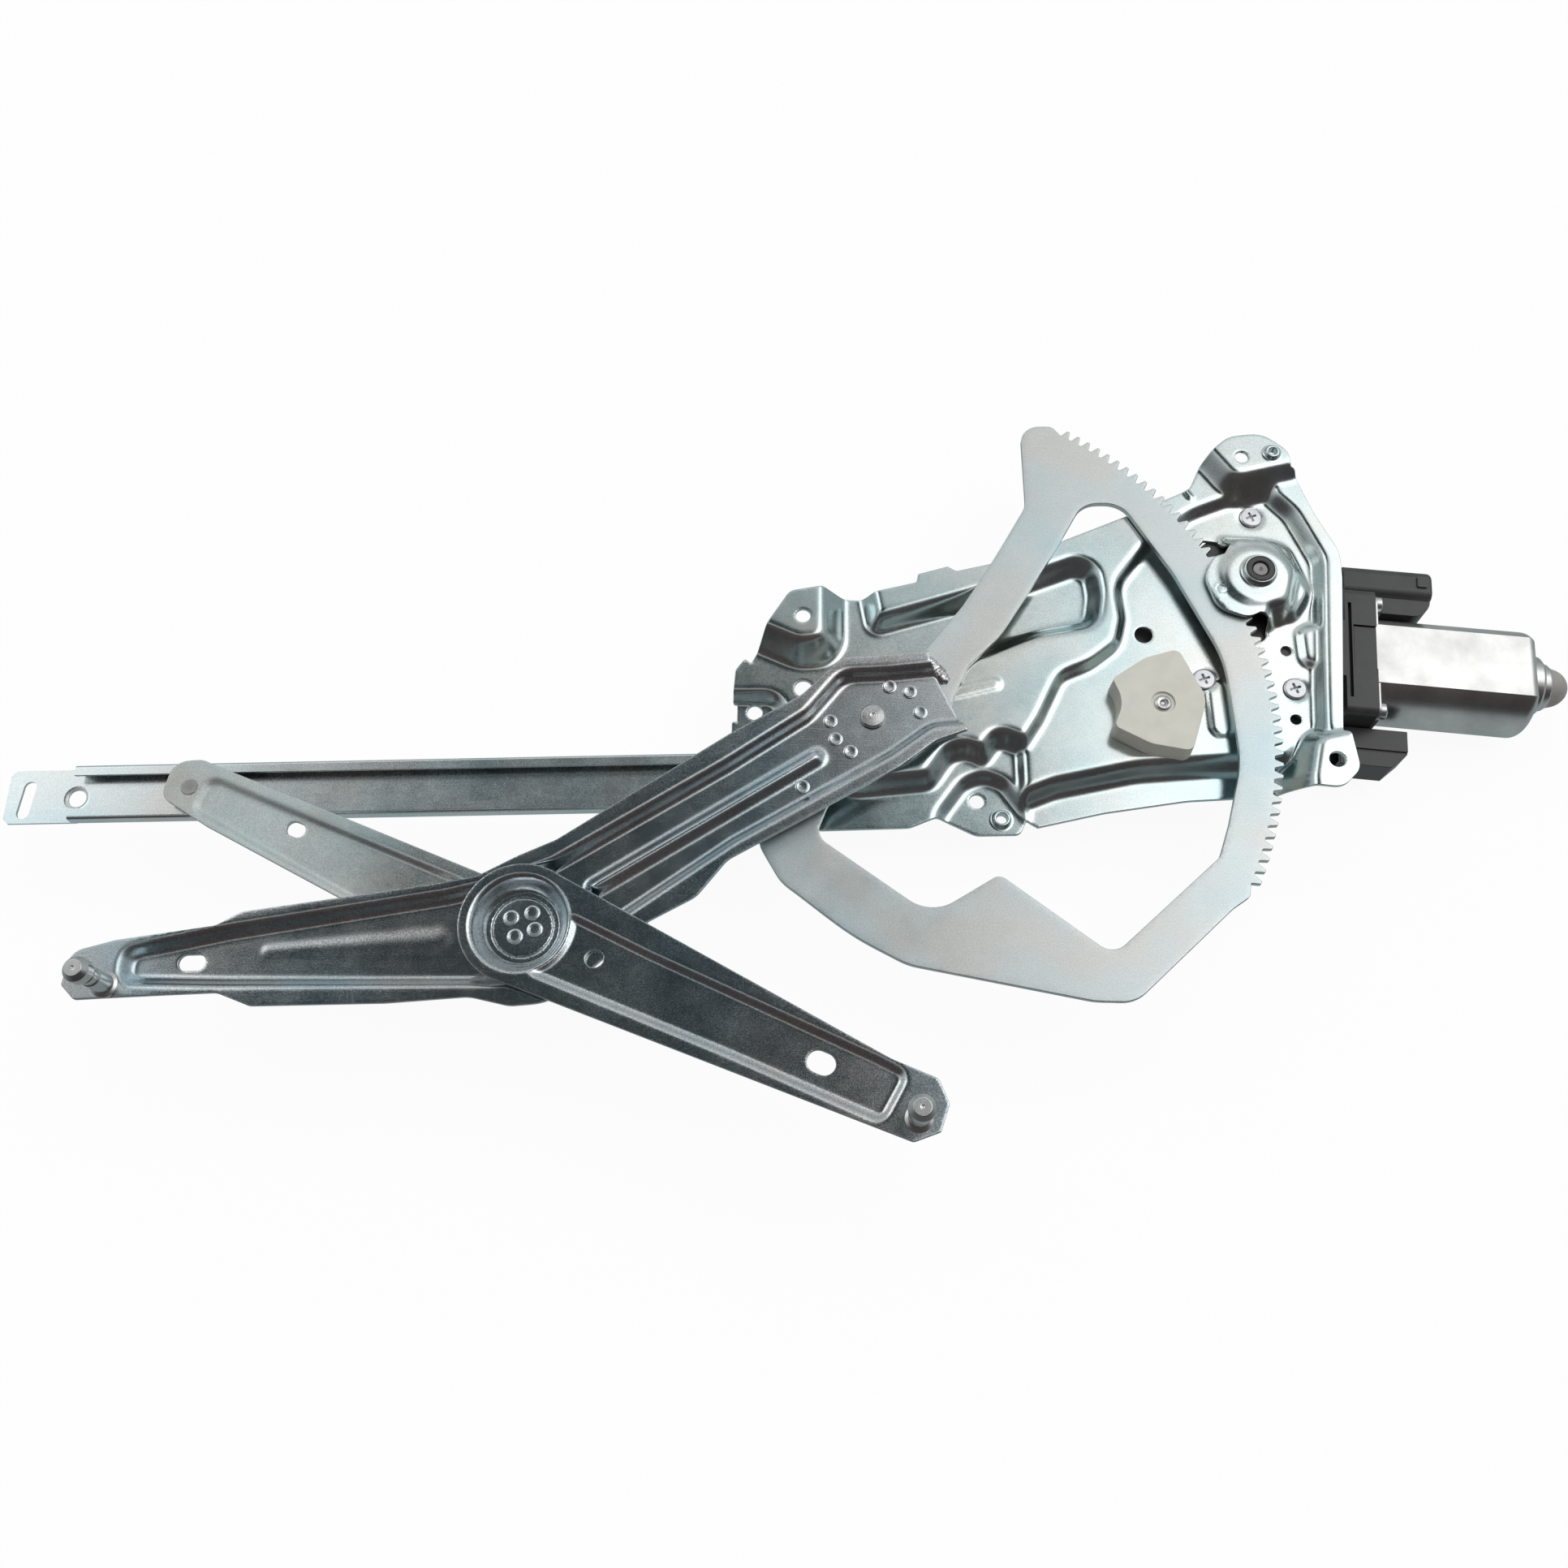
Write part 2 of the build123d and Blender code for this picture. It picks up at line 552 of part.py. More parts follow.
pan_bulge = [(206.6, 32.0, 4), (216.0, 32.0, 4), (216.0, 51.0, 4), (206.6, 51.0, 4)]
hub_rise_radius = 15.0
bridge_dot = (167.9, 66.9)      # half-pierced dot on the bridge's lip
plate_holes = [
    (-33.1, 54.6, 3.65), (-32.9, 22.1, 4.35), (-56.5, 11.9, 3.75), (184.5, 140.5, 3.4),
    (212.5, -20.5, 3.75), (48.9, -34.6, 3.6), (131.5, 48.4, 4.25), (198.5, 39.4, 2.5),
    (198.9, 3.3, 2.5),
]
plate_collars = [(199.4, 142.1, 2.1, top_lug_height), (60.0, -43.9, 2.6, plate_foot)]
mount_screws = [(189.7, 113.9), (158.2, 24.3), (200.4, 19.2)]
screw_radius = 2.6
screw_head_radius = 5.5
block_rivet_point = (135.0, 6.8)
block_rivet_radius = 3.0


def base_plate():
    edge = prism(outline(plate_edge), -40, 30)
    form = edge & Pos(80, 50, plate_shelf - 20) * Box(400, 300, 40)
    high = plate_shelf + 1
    form -= drafted(plate_pan_floor, plate_pan, high, wall_draft)
    form -= drafted(plate_left_floor, plate_left, high, wall_draft)
    form -= drafted(plate_bottom_lip, plate_foot, plate_pan + 6, wall_draft)
    form -= drafted(plate_lower_lug, plate_foot, plate_left + 1, wall_draft)
    form -= drafted(plate_pad_floor, plate_pad, plate_left + 1, wall_draft)
    raised = drafted(left_lug, left_lug_height, plate_left - 2, wall_draft)
    raised += drafted(right_rim, rim_height, plate_foot - 1, arm_draft)
    raised += drafted(right_lug_flat, right_lug_height, plate_foot - 1, wall_draft)
    raised += drafted(top_lug, top_lug_height, plate_pan - 2, wall_draft)
    arch = drafted(bridge, bridge_height, plate_pan - 2, arm_draft)
    arch += drafted(bridge_shoulder, plate_pan + 4.5, plate_pan - 2, wall_draft)
    raised += arch & prism(outline(bridge_area), -40, 30)
    raised += drafted(pan_bulge, plate_pan + 2.6, plate_pan - 2, wall_draft)
    form += raised & edge
    form += turned([(0, bridge_height - 1), (hub_rise_radius + 1.6, bridge_height - 1),
                    (hub_rise_radius + 1.6, bridge_height), (hub_rise_radius, bridge_hub_height),
                    (0, bridge_hub_height)], (pinion_x - 1.0, pinion_y - 1.2))
    plate = pressed(form)
    plate -= prism(outline(bridge_cutout), -30, 20)
    for x, y, radius in plate_holes:
        plate -= disc((x, y), radius, -30, 20)
    for x, y, radius, level in plate_collars:
        plate += disc((x, y), radius + 1.3, level - sheet, level + 2.4)
        plate -= disc((x, y), radius, -30, 20)
    axis = (pinion_x, pinion_y)
    plate += disc(bridge_dot, 2.1, bridge_height - 0.5, bridge_height + 0.4)
    plate += disc(axis, 7.6, bridge_hub_height - sheet, collar_height)
    plate -= disc(axis, 6.7, -30, 20)
    plate -= disc((0, 0), pivot_radius, -30, 20)
    plate -= disc(block_rivet_point, block_rivet_radius, -30, 20)
    for x, y in mount_screws:
        plate -= turned([(0, -30), (screw_radius, -30), (screw_radius, plate_pan - sheet),
                         (screw_head_radius, plate_pan - 0.2), (screw_head_radius, plate_pan + 9),
                         (0, plate_pan + 9)], (x, y))
    for point in rail_rivet_points:
        plate -= disc(point, 2.5, -30, 20)
    return plate


# ---------------------------------------------------------------- stop block
def stop_block():
    """The plastic stop that ends the travel of the sector's window."""
    top_face = [(112.4, 19.4, 3), (129.0, 30.4, 14), (144.4, 34.8, 4), (155.4, 9.0, 14),
                (146.6, -17.6, 4), (128.0, -14.0, 14), (111.6, -5.0, 3), (117.0, 7.4, 16)]
    block = drafted(top_face, plate_pan + 11.6, plate_pan, 3)
    block -= disc(block_rivet_point, 5.6, plate_pan + 10.4, plate_pan + 20)
    return block - disc(block_rivet_point, block_rivet_radius, -30, 20)


def stop_block_rivet():
    top = plate_pan + 10.4
    low = plate_pan - sheet
    shank = block_rivet_radius
    return turned([(0, low - 1.4), (4.4, low - 1.4), (4.8, low), (shank, low), (shank, top),
                   (3.9, top), (3.9, top + 0.8), (3.0, top + 1.4), (1.4, top + 1.2),
                   (0.9, top + 0.2), (0, top + 0.2)], block_rivet_point)


# ---------------------------------------------------------------- motor and gearbox
armature_x = pinion_x - worm_distance * -sin(radians(motor_slope))
armature_y = pinion_y - worm_distance * cos(radians(motor_slope))
wheel_bottom = motor_height - 4.5
wheel_top = motor_height + 4.5
wheel_pitch = worm_module * wheel_teeth / 2
shaft_radius = 3.8
motor_shaft_radius = 2.4


ear_center = (131.5, 50.5)


def at_motor(shape):
    """From the motor's own frame (+X along the armature, +Y to the pinion) to the model's."""
    return shape.moved(Location((armature_x, armature_y, motor_height), (0, 0, motor_slope)))


def block(x_range, y_range, z_range):
    (x0, x1), (y0, y1), (z0, z1) = x_range, y_range, z_range
    return Pos((x0 + x1) / 2, (y0 + y1) / 2, (z0 + z1) / 2) * Box(x1 - x0, y1 - y0, z1 - z0)


def lying(radius, start, end, y=0.0, z=0.0):
    """A cylinder along the armature."""
    return Pos((start + end) / 2, y, z) * Rot(0, 90, 0) * Cylinder(radius, end - start)


def double_d(width, thick, start, end):
    return lying(width / 2, start, end) & block((start, end), (-width, width), (-thick / 2, thick / 2))


def locating_ear():
    """The housing's fourth ear, behind the pan's hole."""
    (x, y), top = ear_center, gearbox_top - 5.0
    middle = ((x + pinion_x) / 2, (y + pinion_y) / 2)
    length = hypot(x - pinion_x, y - pinion_y)
    angle = degrees(atan2(y - pinion_y, x - pinion_x))
    web = Box(length, 9.0, 12.0).moved(Location((*middle, top - 7.0), (0, 0, angle)))
    return [disc(ear_center, 9.5, top - 14.0, top), web]


def gearbox_housing():
    axis = (pinion_x, pinion_y)
    drum = disc(axis, 32.0, gearbox_bottom, gearbox_top)
    for x, y in mount_screws:
        drum += disc((x, y), 7.5, gearbox_top - 20, gearbox_top)
        middle = ((x + pinion_x) / 2, (y + pinion_y) / 2)
        length = hypot(x - pinion_x, y - pinion_y)
        angle = degrees(atan2(y - pinion_y, x - pinion_x))
        web = Box(length, 9.0, 14.0).moved(Location((*middle, gearbox_top - 9.0), (0, 0, angle)))
        drum += web
    for shape in locating_ear():
        drum += shape
    roof = gearbox_top - motor_height
    neck = block((-30, 46), (-15, 15), (-16, roof))
    end = block((45, can_start), (-flange_half, flange_half - 0.4), (-20, roof))
    end = fillet(end.edges().filter_by(Axis.X), 4)
    end -= block((49, can_start + 1), (-10, 13), (roof - 4, roof + 1))
    end -= block((46.6, 48.2), (-26, 25), (roof - 3, roof + 1))
    body = drum + at_motor(neck + end)
    body += at_motor(block((49.4, can_start), (-9.6, 12.6), (roof - 5, roof - 1)))
    body += disc(axis, 10.5, gearbox_top - 1, gearbox_top + 5.2)
    body -= disc(axis, wheel_pitch + 3, gearbox_bottom - 1, wheel_top + 2)
    body -= disc(axis, shaft_radius + 0.4, -60, 10)
    body -= at_motor(lying(9.0, -27, 46))
    body -= at_motor(lying(13.6, 45, 70))
    for x, y in mount_screws:
        body -= disc((x, y), screw_radius, gearbox_top - 17, gearbox_top + 1)
    for y, z in flange_screw_places:
        body -= at_motor(lying(1.9, can_start - 10.2, can_start + 1, y, z))
    return body


flange_screw_places = [(y, z) for y in (-flange_screw_y, flange_screw_y)
                       for z in (-flange_screw_z, flange_screw_z)]


def gearbox_cover():
    """The round lid behind the worm wheel, with a bearing for the output shaft."""
    axis = (pinion_x, pinion_y)
    lid = disc(axis, 31.0, gearbox_bottom - 2.0, gearbox_bottom)
    lid += disc(axis, wheel_pitch + 2.7, gearbox_bottom, gearbox_bottom + 2.0)
    lid += disc(axis, 7.0, gearbox_bottom, wheel_bottom - 0.4)
    for i in range(6):
        rib = Box(20.0, 1.6, 1.4).moved(Location((*polar(17.0, 60 * i, axis),
                                                  gearbox_bottom - 2.7), (0, 0, 60 * i)))
        lid += rib
    return lid - disc(axis, shaft_radius + 0.1, gearbox_bottom, gearbox_bottom + 20)


def mounting_screws():
    """Countersunk cross-head screws from the plate into the gearbox ears."""
    screws = []
    for x, y in mount_screws:
        screw = turned([(0, plate_pan - 17), (screw_radius - 0.4, plate_pan - 17),
                        (screw_radius, plate_pan - 16.4), (screw_radius, plate_pan - sheet),
                        (screw_head_radius - 0.1, plate_pan - 0.2),
                        (screw_head_radius - 0.1, plate_pan + 0.5),
                        (screw_head_radius - 0.8, plate_pan + 0.9), (0, plate_pan + 1.0)], (x, y))
        for turn in (20, 110):
            screw -= Box(5.4, 1.1, 3.2).moved(Location((x, y, plate_pan + 0.8), (0, 0, turn)))
        screws.append(screw)
    return screws


def motor_can():
    """Drawn steel can with flat faces and a flange; its end carries the rear bearing."""
    shell = double_d(can_width, can_thick, can_start, can_end)
    shell = fillet(shell.edges().group_by(Axis.X)[-1], 5.0)
    flange = block((can_start, can_start + 1.8), (-flange_half, flange_half), (-20.5, 20.5))
    shell += fillet(flange.edges().filter_by(Axis.X), 6)
    shell -= double_d(can_width - 2 * can_wall, can_thick - 2 * can_wall, can_start - 1,
                      can_end - can_wall)
    for y, z in flange_screw_places:
        shell -= lying(2.0, can_start - 5, can_start + 6, y, z)
    shell -= lying(motor_shaft_radius + 0.5, can_end - 5, can_end + 5)
    return at_motor(shell)


def end_bearing():
    """Stepped steel boss that holds the armature's rear bearing."""
    start = can_end
    profile = [(start, 0), (start, 15.2), (start + 4.6, 14.9), (start + 6.0, 13.6),
               (start + 6.0, 12.0), (start + 9.2, 11.5), (start + 10.4, 10.6), (start + 10.4, 0)]
    boss = revolve(make_face(Polyline(*[(x, r, 0) for x, r in profile], close=True)), Axis.X)
    return at_motor(boss - lying(motor_shaft_radius + 0.15, start - 1, start + 9))


def end_cap():
    """Rounded plastic cap over the rear bearing."""
    start = can_end + 10.4
    section = Face(Wire([
        Line((start, 0), (start, 10.2)), Line((start, 10.2), (start + 2.6, 9.4)),
        ThreePointArc((start + 2.6, 9.4), (start + 8.2, 6.2), (start + 10.4, 2.0)),
        Line((start + 10.4, 2.0), (start + 10.6, 0)), Line((start + 10.6, 0), (start, 0))]))
    return at_motor(revolve(section, Axis.X))


def flange_screws():
    """Pan-head screws that hold the can to the gearbox."""
    face = can_start + 1.8
    profile = [(face - 12, 0), (face - 12, 1.85), (face, 1.85), (face, 4.0), (face + 2.6, 4.0),
               (face + 3.6, 3.0), (face + 3.6, 1.2), (face + 2.2, 0.9), (face + 2.2, 0)]
    screw = revolve(make_face(Polyline(*[(x, r, 0) for x, r in profile], close=True)), Axis.X)
    return [at_motor(screw.moved(Location((0, y, z)))) for y, z in flange_screw_places]


def connector_pins():
    pins = [block((64.0, 84.0), (y - 0.5, y + 0.5), (5.6, 6.4)) for y in (40.2, 43.6, 47.0)]
    pins += [block((54.0, 72.0), (y - 0.5, y + 0.5), (-1.8, -1.0)) for y in (-46.0, -41.0)]
    return [at_motor(pin) for pin in pins]


def upper_connector():
    """Oval shroud above the motor, open towards the gearbox."""
    tube = fillet(block((48, 91), (flange_half + 1, 51.4), (-3, 16)).edges().filter_by(Axis.X), 5)
    tube = fillet(tube.edges().group_by(Axis.X)[-1], 2.5)
    skirt = block((66.4, 90), (26.6, 42.0), (-2, 13))
    skirt = fillet(skirt.edges().filter_by(Axis.Z).group_by(Axis.X)[-1].sort_by(Axis.Y)[0], 9)
    latch = fillet(block((83, 88), (41, 47), (15.0, 17)).edges().filter_by(Axis.Z), 0.8)
    cavity = fillet(block((47, 80), (37.0, 49.4), (-1.0, 14.0)).edges().filter_by(Axis.X), 3.4)
    return at_motor(tube + skirt + latch - cavity) - Compound(connector_pins())


def lower_connector():
    """Square shroud below the motor, open towards the gearbox."""
    outer = block((46, 78), (-54.0, -flange_half - 0.4), (-9, 8))
    outer = chamfer(outer.edges().filter_by(Axis.Z).group_by(Axis.X)[-1].sort_by(Axis.Y)[0], 8)
    outer -= block((45, 79), (-46.4, -45.2), (7.0, 9))
    outer -= block((45, 66), (-51.8, -37.0), (-6.6, 5.6))
    return at_motor(outer) - Compound(connector_pins())


def magnets():
    """Two arc magnets on the can's round walls."""
    shape = lying(can_width / 2 - can_wall, 82, 126) - lying(18.6, 81, 127)
    shape -= block((70, 136), (-30, 30), (14, 30))
    shape -= block((70, 136), (-30, 30), (-30, -14))
    return [at_motor(solid) for solid in shape.solids()]


def brush_holder():
    """Plastic plate in the can's mouth, with two brush boxes beside the commutator."""
    plate = double_d(can_width - 2 * can_wall - 0.2, can_thick - 2 * can_wall - 0.2,
                     can_start + 2, can_start + 5)
    plate -= lying(8.4, can_start + 1, can_start + 6)
    for side in (-1, 1):
        box = block((can_start + 5, can_start + 13), (8.6, 19.0), (-4, 4))
        plate += box if side == 1 else box.mirror(Plane.XZ)
    return at_motor(plate)


def output_bushing():
    """Black bearing bush in the plate's collar."""
    return turned([(shaft_radius + 0.1, bridge_height - 1.0), (6.7, bridge_height - 1.0),
                   (6.7, collar_height - 0.3), (6.2, collar_height + 0.1),
                   (shaft_radius + 0.6, collar_height + 0.1),
                   (shaft_radius + 0.1, collar_height - 0.4)], (pinion_x, pinion_y))


# ---------------------------------------------------------------- output pinion and worm wheel
def pinion_gear():
    pitch = module * pinion_teeth / 2
    root = pitch - module * 1.15
    step = 360 / pinion_teeth
    # a gap of the pinion faces the sector's tooth on the line of centres
    sector_tooth = sector_first_angle - tooth_step * round(
        (sector_first_angle - pinion_angle) / tooth_step)
    lag = (sector_tooth - pinion_angle) * sector_full_teeth / pinion_teeth
    first = 180 + pinion_angle - lag + step / 2
    angles = [first - step * i for i in range(pinion_teeth)]
    flank = [root + 0.4, pitch - 0.9, pitch, pitch + module * 0.5, pitch + module * 0.95]
    points = gear_edge(pinion_teeth, angles, root, flank, backlash / 2)
    face = outline([(x, y, 0) for x, y in points])
    gear = prism(face, -3.6, 0.6).moved(Location((pinion_x, pinion_y, 0)))
    return gear - disc((pinion_x, pinion_y), shaft_radius, -10, 10)


def output_shaft():
    low = gearbox_bottom + 0.6
    end = collar_height - 0.5
    r = shaft_radius
    return turned([(0, low), (r, low), (r, end - 0.5), (r - 0.5, end), (1.0, end), (0, end - 0.6)],
                  (pinion_x, pinion_y))


def worm_wheel():
    """Plastic wheel with a cup for the damper."""
    axis = (pinion_x, pinion_y)
    tip = wheel_pitch + worm_module * 0.9
    root = wheel_pitch - worm_module * 1.1
    points = []
    for i in range(wheel_teeth):
        middle = 360 / wheel_teeth * i
        for radius, share in ((root, -0.36), (tip, -0.14), (tip, 0.14), (root, 0.36)):
            points.append(polar(radius, middle + share * 360 / wheel_teeth, axis))
    wheel = prism(outline([(x, y, 0) for x, y in points]), wheel_bottom, wheel_top)
    wheel -= ring(axis, 18.0, 7.0, motor_height - 2.0, wheel_top + 1)
    return wheel - disc(axis, shaft_radius, -60, 10)


def damper():
    """Three-lobed rubber damper in the wheel's cup."""
    axis = (pinion_x, pinion_y)
    rubber = ring(axis, 13.0, 7.2, motor_height - 2.0, wheel_top - 0.3)
    for i in range(3):
        lobe = Pos(*polar(13.0, 120 * i + 20, axis), motor_height + 1.1) * Cylinder(3.6, 6.2)
        rubber += lobe
    return rubber


# ---------------------------------------------------------------- armature
def armature_shaft():
    return at_motor(lying(motor_shaft_radius, -24.0, can_end + 8.5))


def worm():
    """Worm thread as close rings, held just clear of the wheel's teeth."""
    tip = worm_distance - wheel_pitch - worm_module * 0.9 - 0.3
    root = tip - 1.1
    pitch = pi * worm_module
    count = 8
    start = -pitch * count / 2
    points = [(start - 1, motor_shaft_radius), (start - 1, root)]
    for i in range(count):
        base = start + pitch * i
        points += [(base + 0.4, root), (base + 1.0, tip), (base + 1.5, tip), (base + 2.1, root)]
    points += [(-start + 1, root), (-start + 1, motor_shaft_radius)]
    return at_motor(revolve(make_face(Polyline(*[(x, r, 0) for x, r in points], close=True)),
                            Axis.X))


def armature_core():
    """Laminated core with ten winding slots."""
    core = lying(17.8, 86, 122)
    for i in range(10):
        groove = block((85, 123), (11.0, 19.0), (-1.2, 1.2))
        core -= groove.rotate(Axis.X, 36 * i)
    return at_motor(core - lying(motor_shaft_radius, 80, 126))


def commutator():
    body = lying(7.4, can_start + 3, can_start + 15) - lying(motor_shaft_radius, 50, 90)
    for i in range(10):
        slit = block((can_start + 2, can_start + 16), (6.6, 8.0), (-0.25, 0.25))
        body -= slit.rotate(Axis.X, 36 * i + 18)
    return at_motor(body)


# ---------------------------------------------------------------- write all parts
arm = lift_arm()
save("base_plate", base_plate())
save("guide_rail", guide_rail())
save("rail_rivets", *rail_rivets())
save("pivot_stud", pivot_stud())
save("stop_block", stop_block())
save("stop_block_rivet", stop_block_rivet())
save("gearbox_housing", gearbox_housing())
save("gearbox_cover", gearbox_cover())
save("mounting_screws", *mounting_screws())
save("motor_can", motor_can())
save("end_bearing", end_bearing())
save("end_cap", end_cap())
save("flange_screws", *flange_screws())
save("upper_connector", upper_connector())
save("lower_connector", lower_connector())
save("connector_pins", *connector_pins())
save("magnets", *magnets())
save("brush_holder", brush_holder())
save("output_bushing", output_bushing())
save("lift_arm", arm)
save("sector_gear", sector_gear())
save("clinch_rivets", *clinch_rivets())
save("weld_bead", weld_bead(arm))
save("lift_pin_left", glass_stud(lift_pin, arm_lip, arm_lip - sheet))
save("pivot_bush", pivot_bush())
save("idler_arm_front", idler_arm_front())
save("idler_arm_rear", idler_arm_rear())
save("idler_hub", idler_hub())
save("hub_rivets", *hub_rivets())
save("lift_pin_right", glass_stud(idler_pin, idler_lip, idler_lip - sheet))
save("rail_pin", rail_pin_part())
save("rail_roller", rail_roller())
save("pinion_gear", pinion_gear())
save("output_shaft", output_shaft())
save("worm_wheel", worm_wheel())
save("damper", damper())
save("armature_shaft", armature_shaft())
save("worm", worm())
save("armature_core", armature_core())
save("commutator", commutator())
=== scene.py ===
import json
import math
import bmesh
import bpy
import numpy as np
from mathutils import Matrix, Vector, noise
from mathutils.bvhtree import BVHTree
from mathutils.geometry import delaunay_2d_cdt
from mathutils.kdtree import KDTree


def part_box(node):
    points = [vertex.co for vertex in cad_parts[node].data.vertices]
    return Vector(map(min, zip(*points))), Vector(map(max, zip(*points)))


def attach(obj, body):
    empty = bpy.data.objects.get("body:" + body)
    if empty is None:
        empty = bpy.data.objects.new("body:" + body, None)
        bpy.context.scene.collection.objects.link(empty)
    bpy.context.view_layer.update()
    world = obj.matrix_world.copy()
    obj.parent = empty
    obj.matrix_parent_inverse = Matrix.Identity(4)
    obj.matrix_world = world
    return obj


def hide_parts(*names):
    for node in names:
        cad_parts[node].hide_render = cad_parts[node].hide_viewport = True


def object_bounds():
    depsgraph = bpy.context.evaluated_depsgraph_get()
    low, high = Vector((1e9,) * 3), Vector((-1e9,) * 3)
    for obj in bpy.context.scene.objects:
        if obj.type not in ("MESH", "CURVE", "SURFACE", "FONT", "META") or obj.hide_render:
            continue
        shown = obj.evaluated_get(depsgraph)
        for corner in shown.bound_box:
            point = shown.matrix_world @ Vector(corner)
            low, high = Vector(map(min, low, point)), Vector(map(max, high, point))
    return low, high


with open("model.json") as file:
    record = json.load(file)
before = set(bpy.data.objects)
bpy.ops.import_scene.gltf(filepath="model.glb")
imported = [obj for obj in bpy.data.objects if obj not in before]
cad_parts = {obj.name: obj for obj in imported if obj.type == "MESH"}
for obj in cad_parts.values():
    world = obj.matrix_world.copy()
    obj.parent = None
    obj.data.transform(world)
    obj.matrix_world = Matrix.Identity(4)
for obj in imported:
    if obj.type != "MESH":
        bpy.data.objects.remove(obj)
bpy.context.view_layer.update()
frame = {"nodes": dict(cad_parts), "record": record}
record = frame["record"]
nodes = frame["nodes"]
bodyOf = {n: b for b, members in record["behaviour"]["bodies"].items() for n in members}
slotOf = {s["node"]: s["material_slot"] for s in record["subparts"]}
mm = 0.001  # lengths below are in mm, the scene's are in metres
mergeGap = 0.00001  # points nearer than this become one
fullTurn = 2 * math.pi
print("frame loaded:", len(nodes), "nodes")


# helpers for the material nodes
def newMaterial(name, metallic=0.0, roughness=0.5):
    material = bpy.data.materials.new(name)
    material.use_nodes = True
    tree = material.node_tree
    shader = tree.nodes["Principled BSDF"]
    shader.inputs["Metallic"].default_value = metallic
    shader.inputs["Roughness"].default_value = roughness
    return material, tree, shader


def addNode(tree, kind, links=(), **settings):
    node = tree.nodes.new(kind)
    for key, value in settings.items():
        if key in node.inputs:
            node.inputs[key].default_value = value
        else:
            setattr(node, key, value)
    for source, target in links:
        tree.links.new(source, node.inputs[target])
    return node


def feed(tree, socket, value):  # a socket takes another socket's output, a number or a tint
    if isinstance(value, bpy.types.NodeSocket):
        tree.links.new(value, socket)
    else:
        socket.default_value = (*value, 1) if isinstance(value, tuple) and len(value) == 3 else value


def placeOf(tree, stretch=(1, 1, 1), turn=0.0):
    place = addNode(tree, "ShaderNodeTexCoord")
    mapping = addNode(tree, "ShaderNodeMapping", [(place.outputs["Object"], "Vector")])
    mapping.inputs["Scale"].default_value = stretch
    mapping.inputs["Rotation"].default_value = (0, 0, turn)
    return mapping.outputs["Vector"]


def noiseAt(tree, vector, scale, detail=4.0, rough=0.6):
    texture = addNode(tree, "ShaderNodeTexNoise", [(vector, "Vector")], Scale=scale, Detail=detail,
                      Roughness=rough)
    return texture.outputs["Fac"]


def rampOf(tree, value, stops):
    ramp = addNode(tree, "ShaderNodeValToRGB", [(value, "Fac")])
    elements = ramp.color_ramp.elements
    while len(elements) < len(stops):
        elements.new(0.5)
    for element, (where, tint) in zip(elements, stops):
        element.position = where
        element.color = (*tint, 1)
    return ramp.outputs["Color"]


def spread(tree, value, low, high, fromLow=0.0, fromHigh=1.0, soft=False):
    span = addNode(tree, "ShaderNodeMapRange", [(value, "Value")])
    span.interpolation_type = "SMOOTHSTEP" if soft else "LINEAR"
    span.inputs["From Min"].default_value = fromLow
    span.inputs["From Max"].default_value = fromHigh
    span.inputs["To Min"].default_value = low
    span.inputs["To Max"].default_value = high
    return span.outputs["Result"]


def combined(tree, operation, first, second):
    step = addNode(tree, "ShaderNodeMath", operation=operation)
    feed(tree, step.inputs[0], first)
    feed(tree, step.inputs[1], second)
    return step.outputs[0]


def blendTints(tree, share, first, second, mode="MIX"):
    mix = addNode(tree, "ShaderNodeMix", data_type="RGBA", blend_type=mode)
    feed(tree, mix.inputs["Factor"], share)
    feed(tree, mix.inputs[6], first)  # the tint sockets A and B
    feed(tree, mix.inputs[7], second)
    return mix.outputs[2]


def bumpFrom(tree, height, shader, strength, distance, under=None):
    bump = addNode(tree, "ShaderNodeBump", [(height, "Height")], Strength=strength, Distance=distance)
    if under is not None:
        tree.links.new(under, bump.inputs["Normal"])
    tree.links.new(bump.outputs["Normal"], shader.inputs["Normal"])
    return bump.outputs["Normal"]


def scaled(tint, factor):
    return tuple(channel * factor for channel in tint)


# zinc-plated sheet: values for each pressing, then what all of them share
zincLook = {
    "zincPlate": dict(dark=(0.545, 0.60, 0.60), light=(0.785, 0.83, 0.83), rough=(0.15, 0.24), grain=0.30,
                      scratch=0.10, relief=0.14, cloud=30),
    "zincArm": dict(dark=(0.54, 0.56, 0.58), light=(0.68, 0.70, 0.72), rough=(0.17, 0.23), grain=0.62,
                    scratch=0.55, relief=0.24, cloud=42, dullEnd=(-0.33, -0.27, 0.30)),
    "zincRear": dict(dark=(0.63, 0.67, 0.665), light=(0.79, 0.835, 0.83), rough=(0.24, 0.30), grain=0.45,
                     scratch=0.40, relief=0.24, cloud=42, dullEnd=(-0.31, -0.16, 0.34)),
    "zincRail": dict(dark=(0.72, 0.75, 0.76), light=(0.84, 0.87, 0.88), rough=(0.22, 0.29), grain=0.35,
                     scratch=0.50, relief=0.22, cloud=42),
    "zincSector": dict(dark=(0.655, 0.69, 0.695), light=(0.785, 0.815, 0.82), rough=(0.36, 0.46), grain=0.35,
                       scratch=0.30, relief=0.12, cloud=24),
}
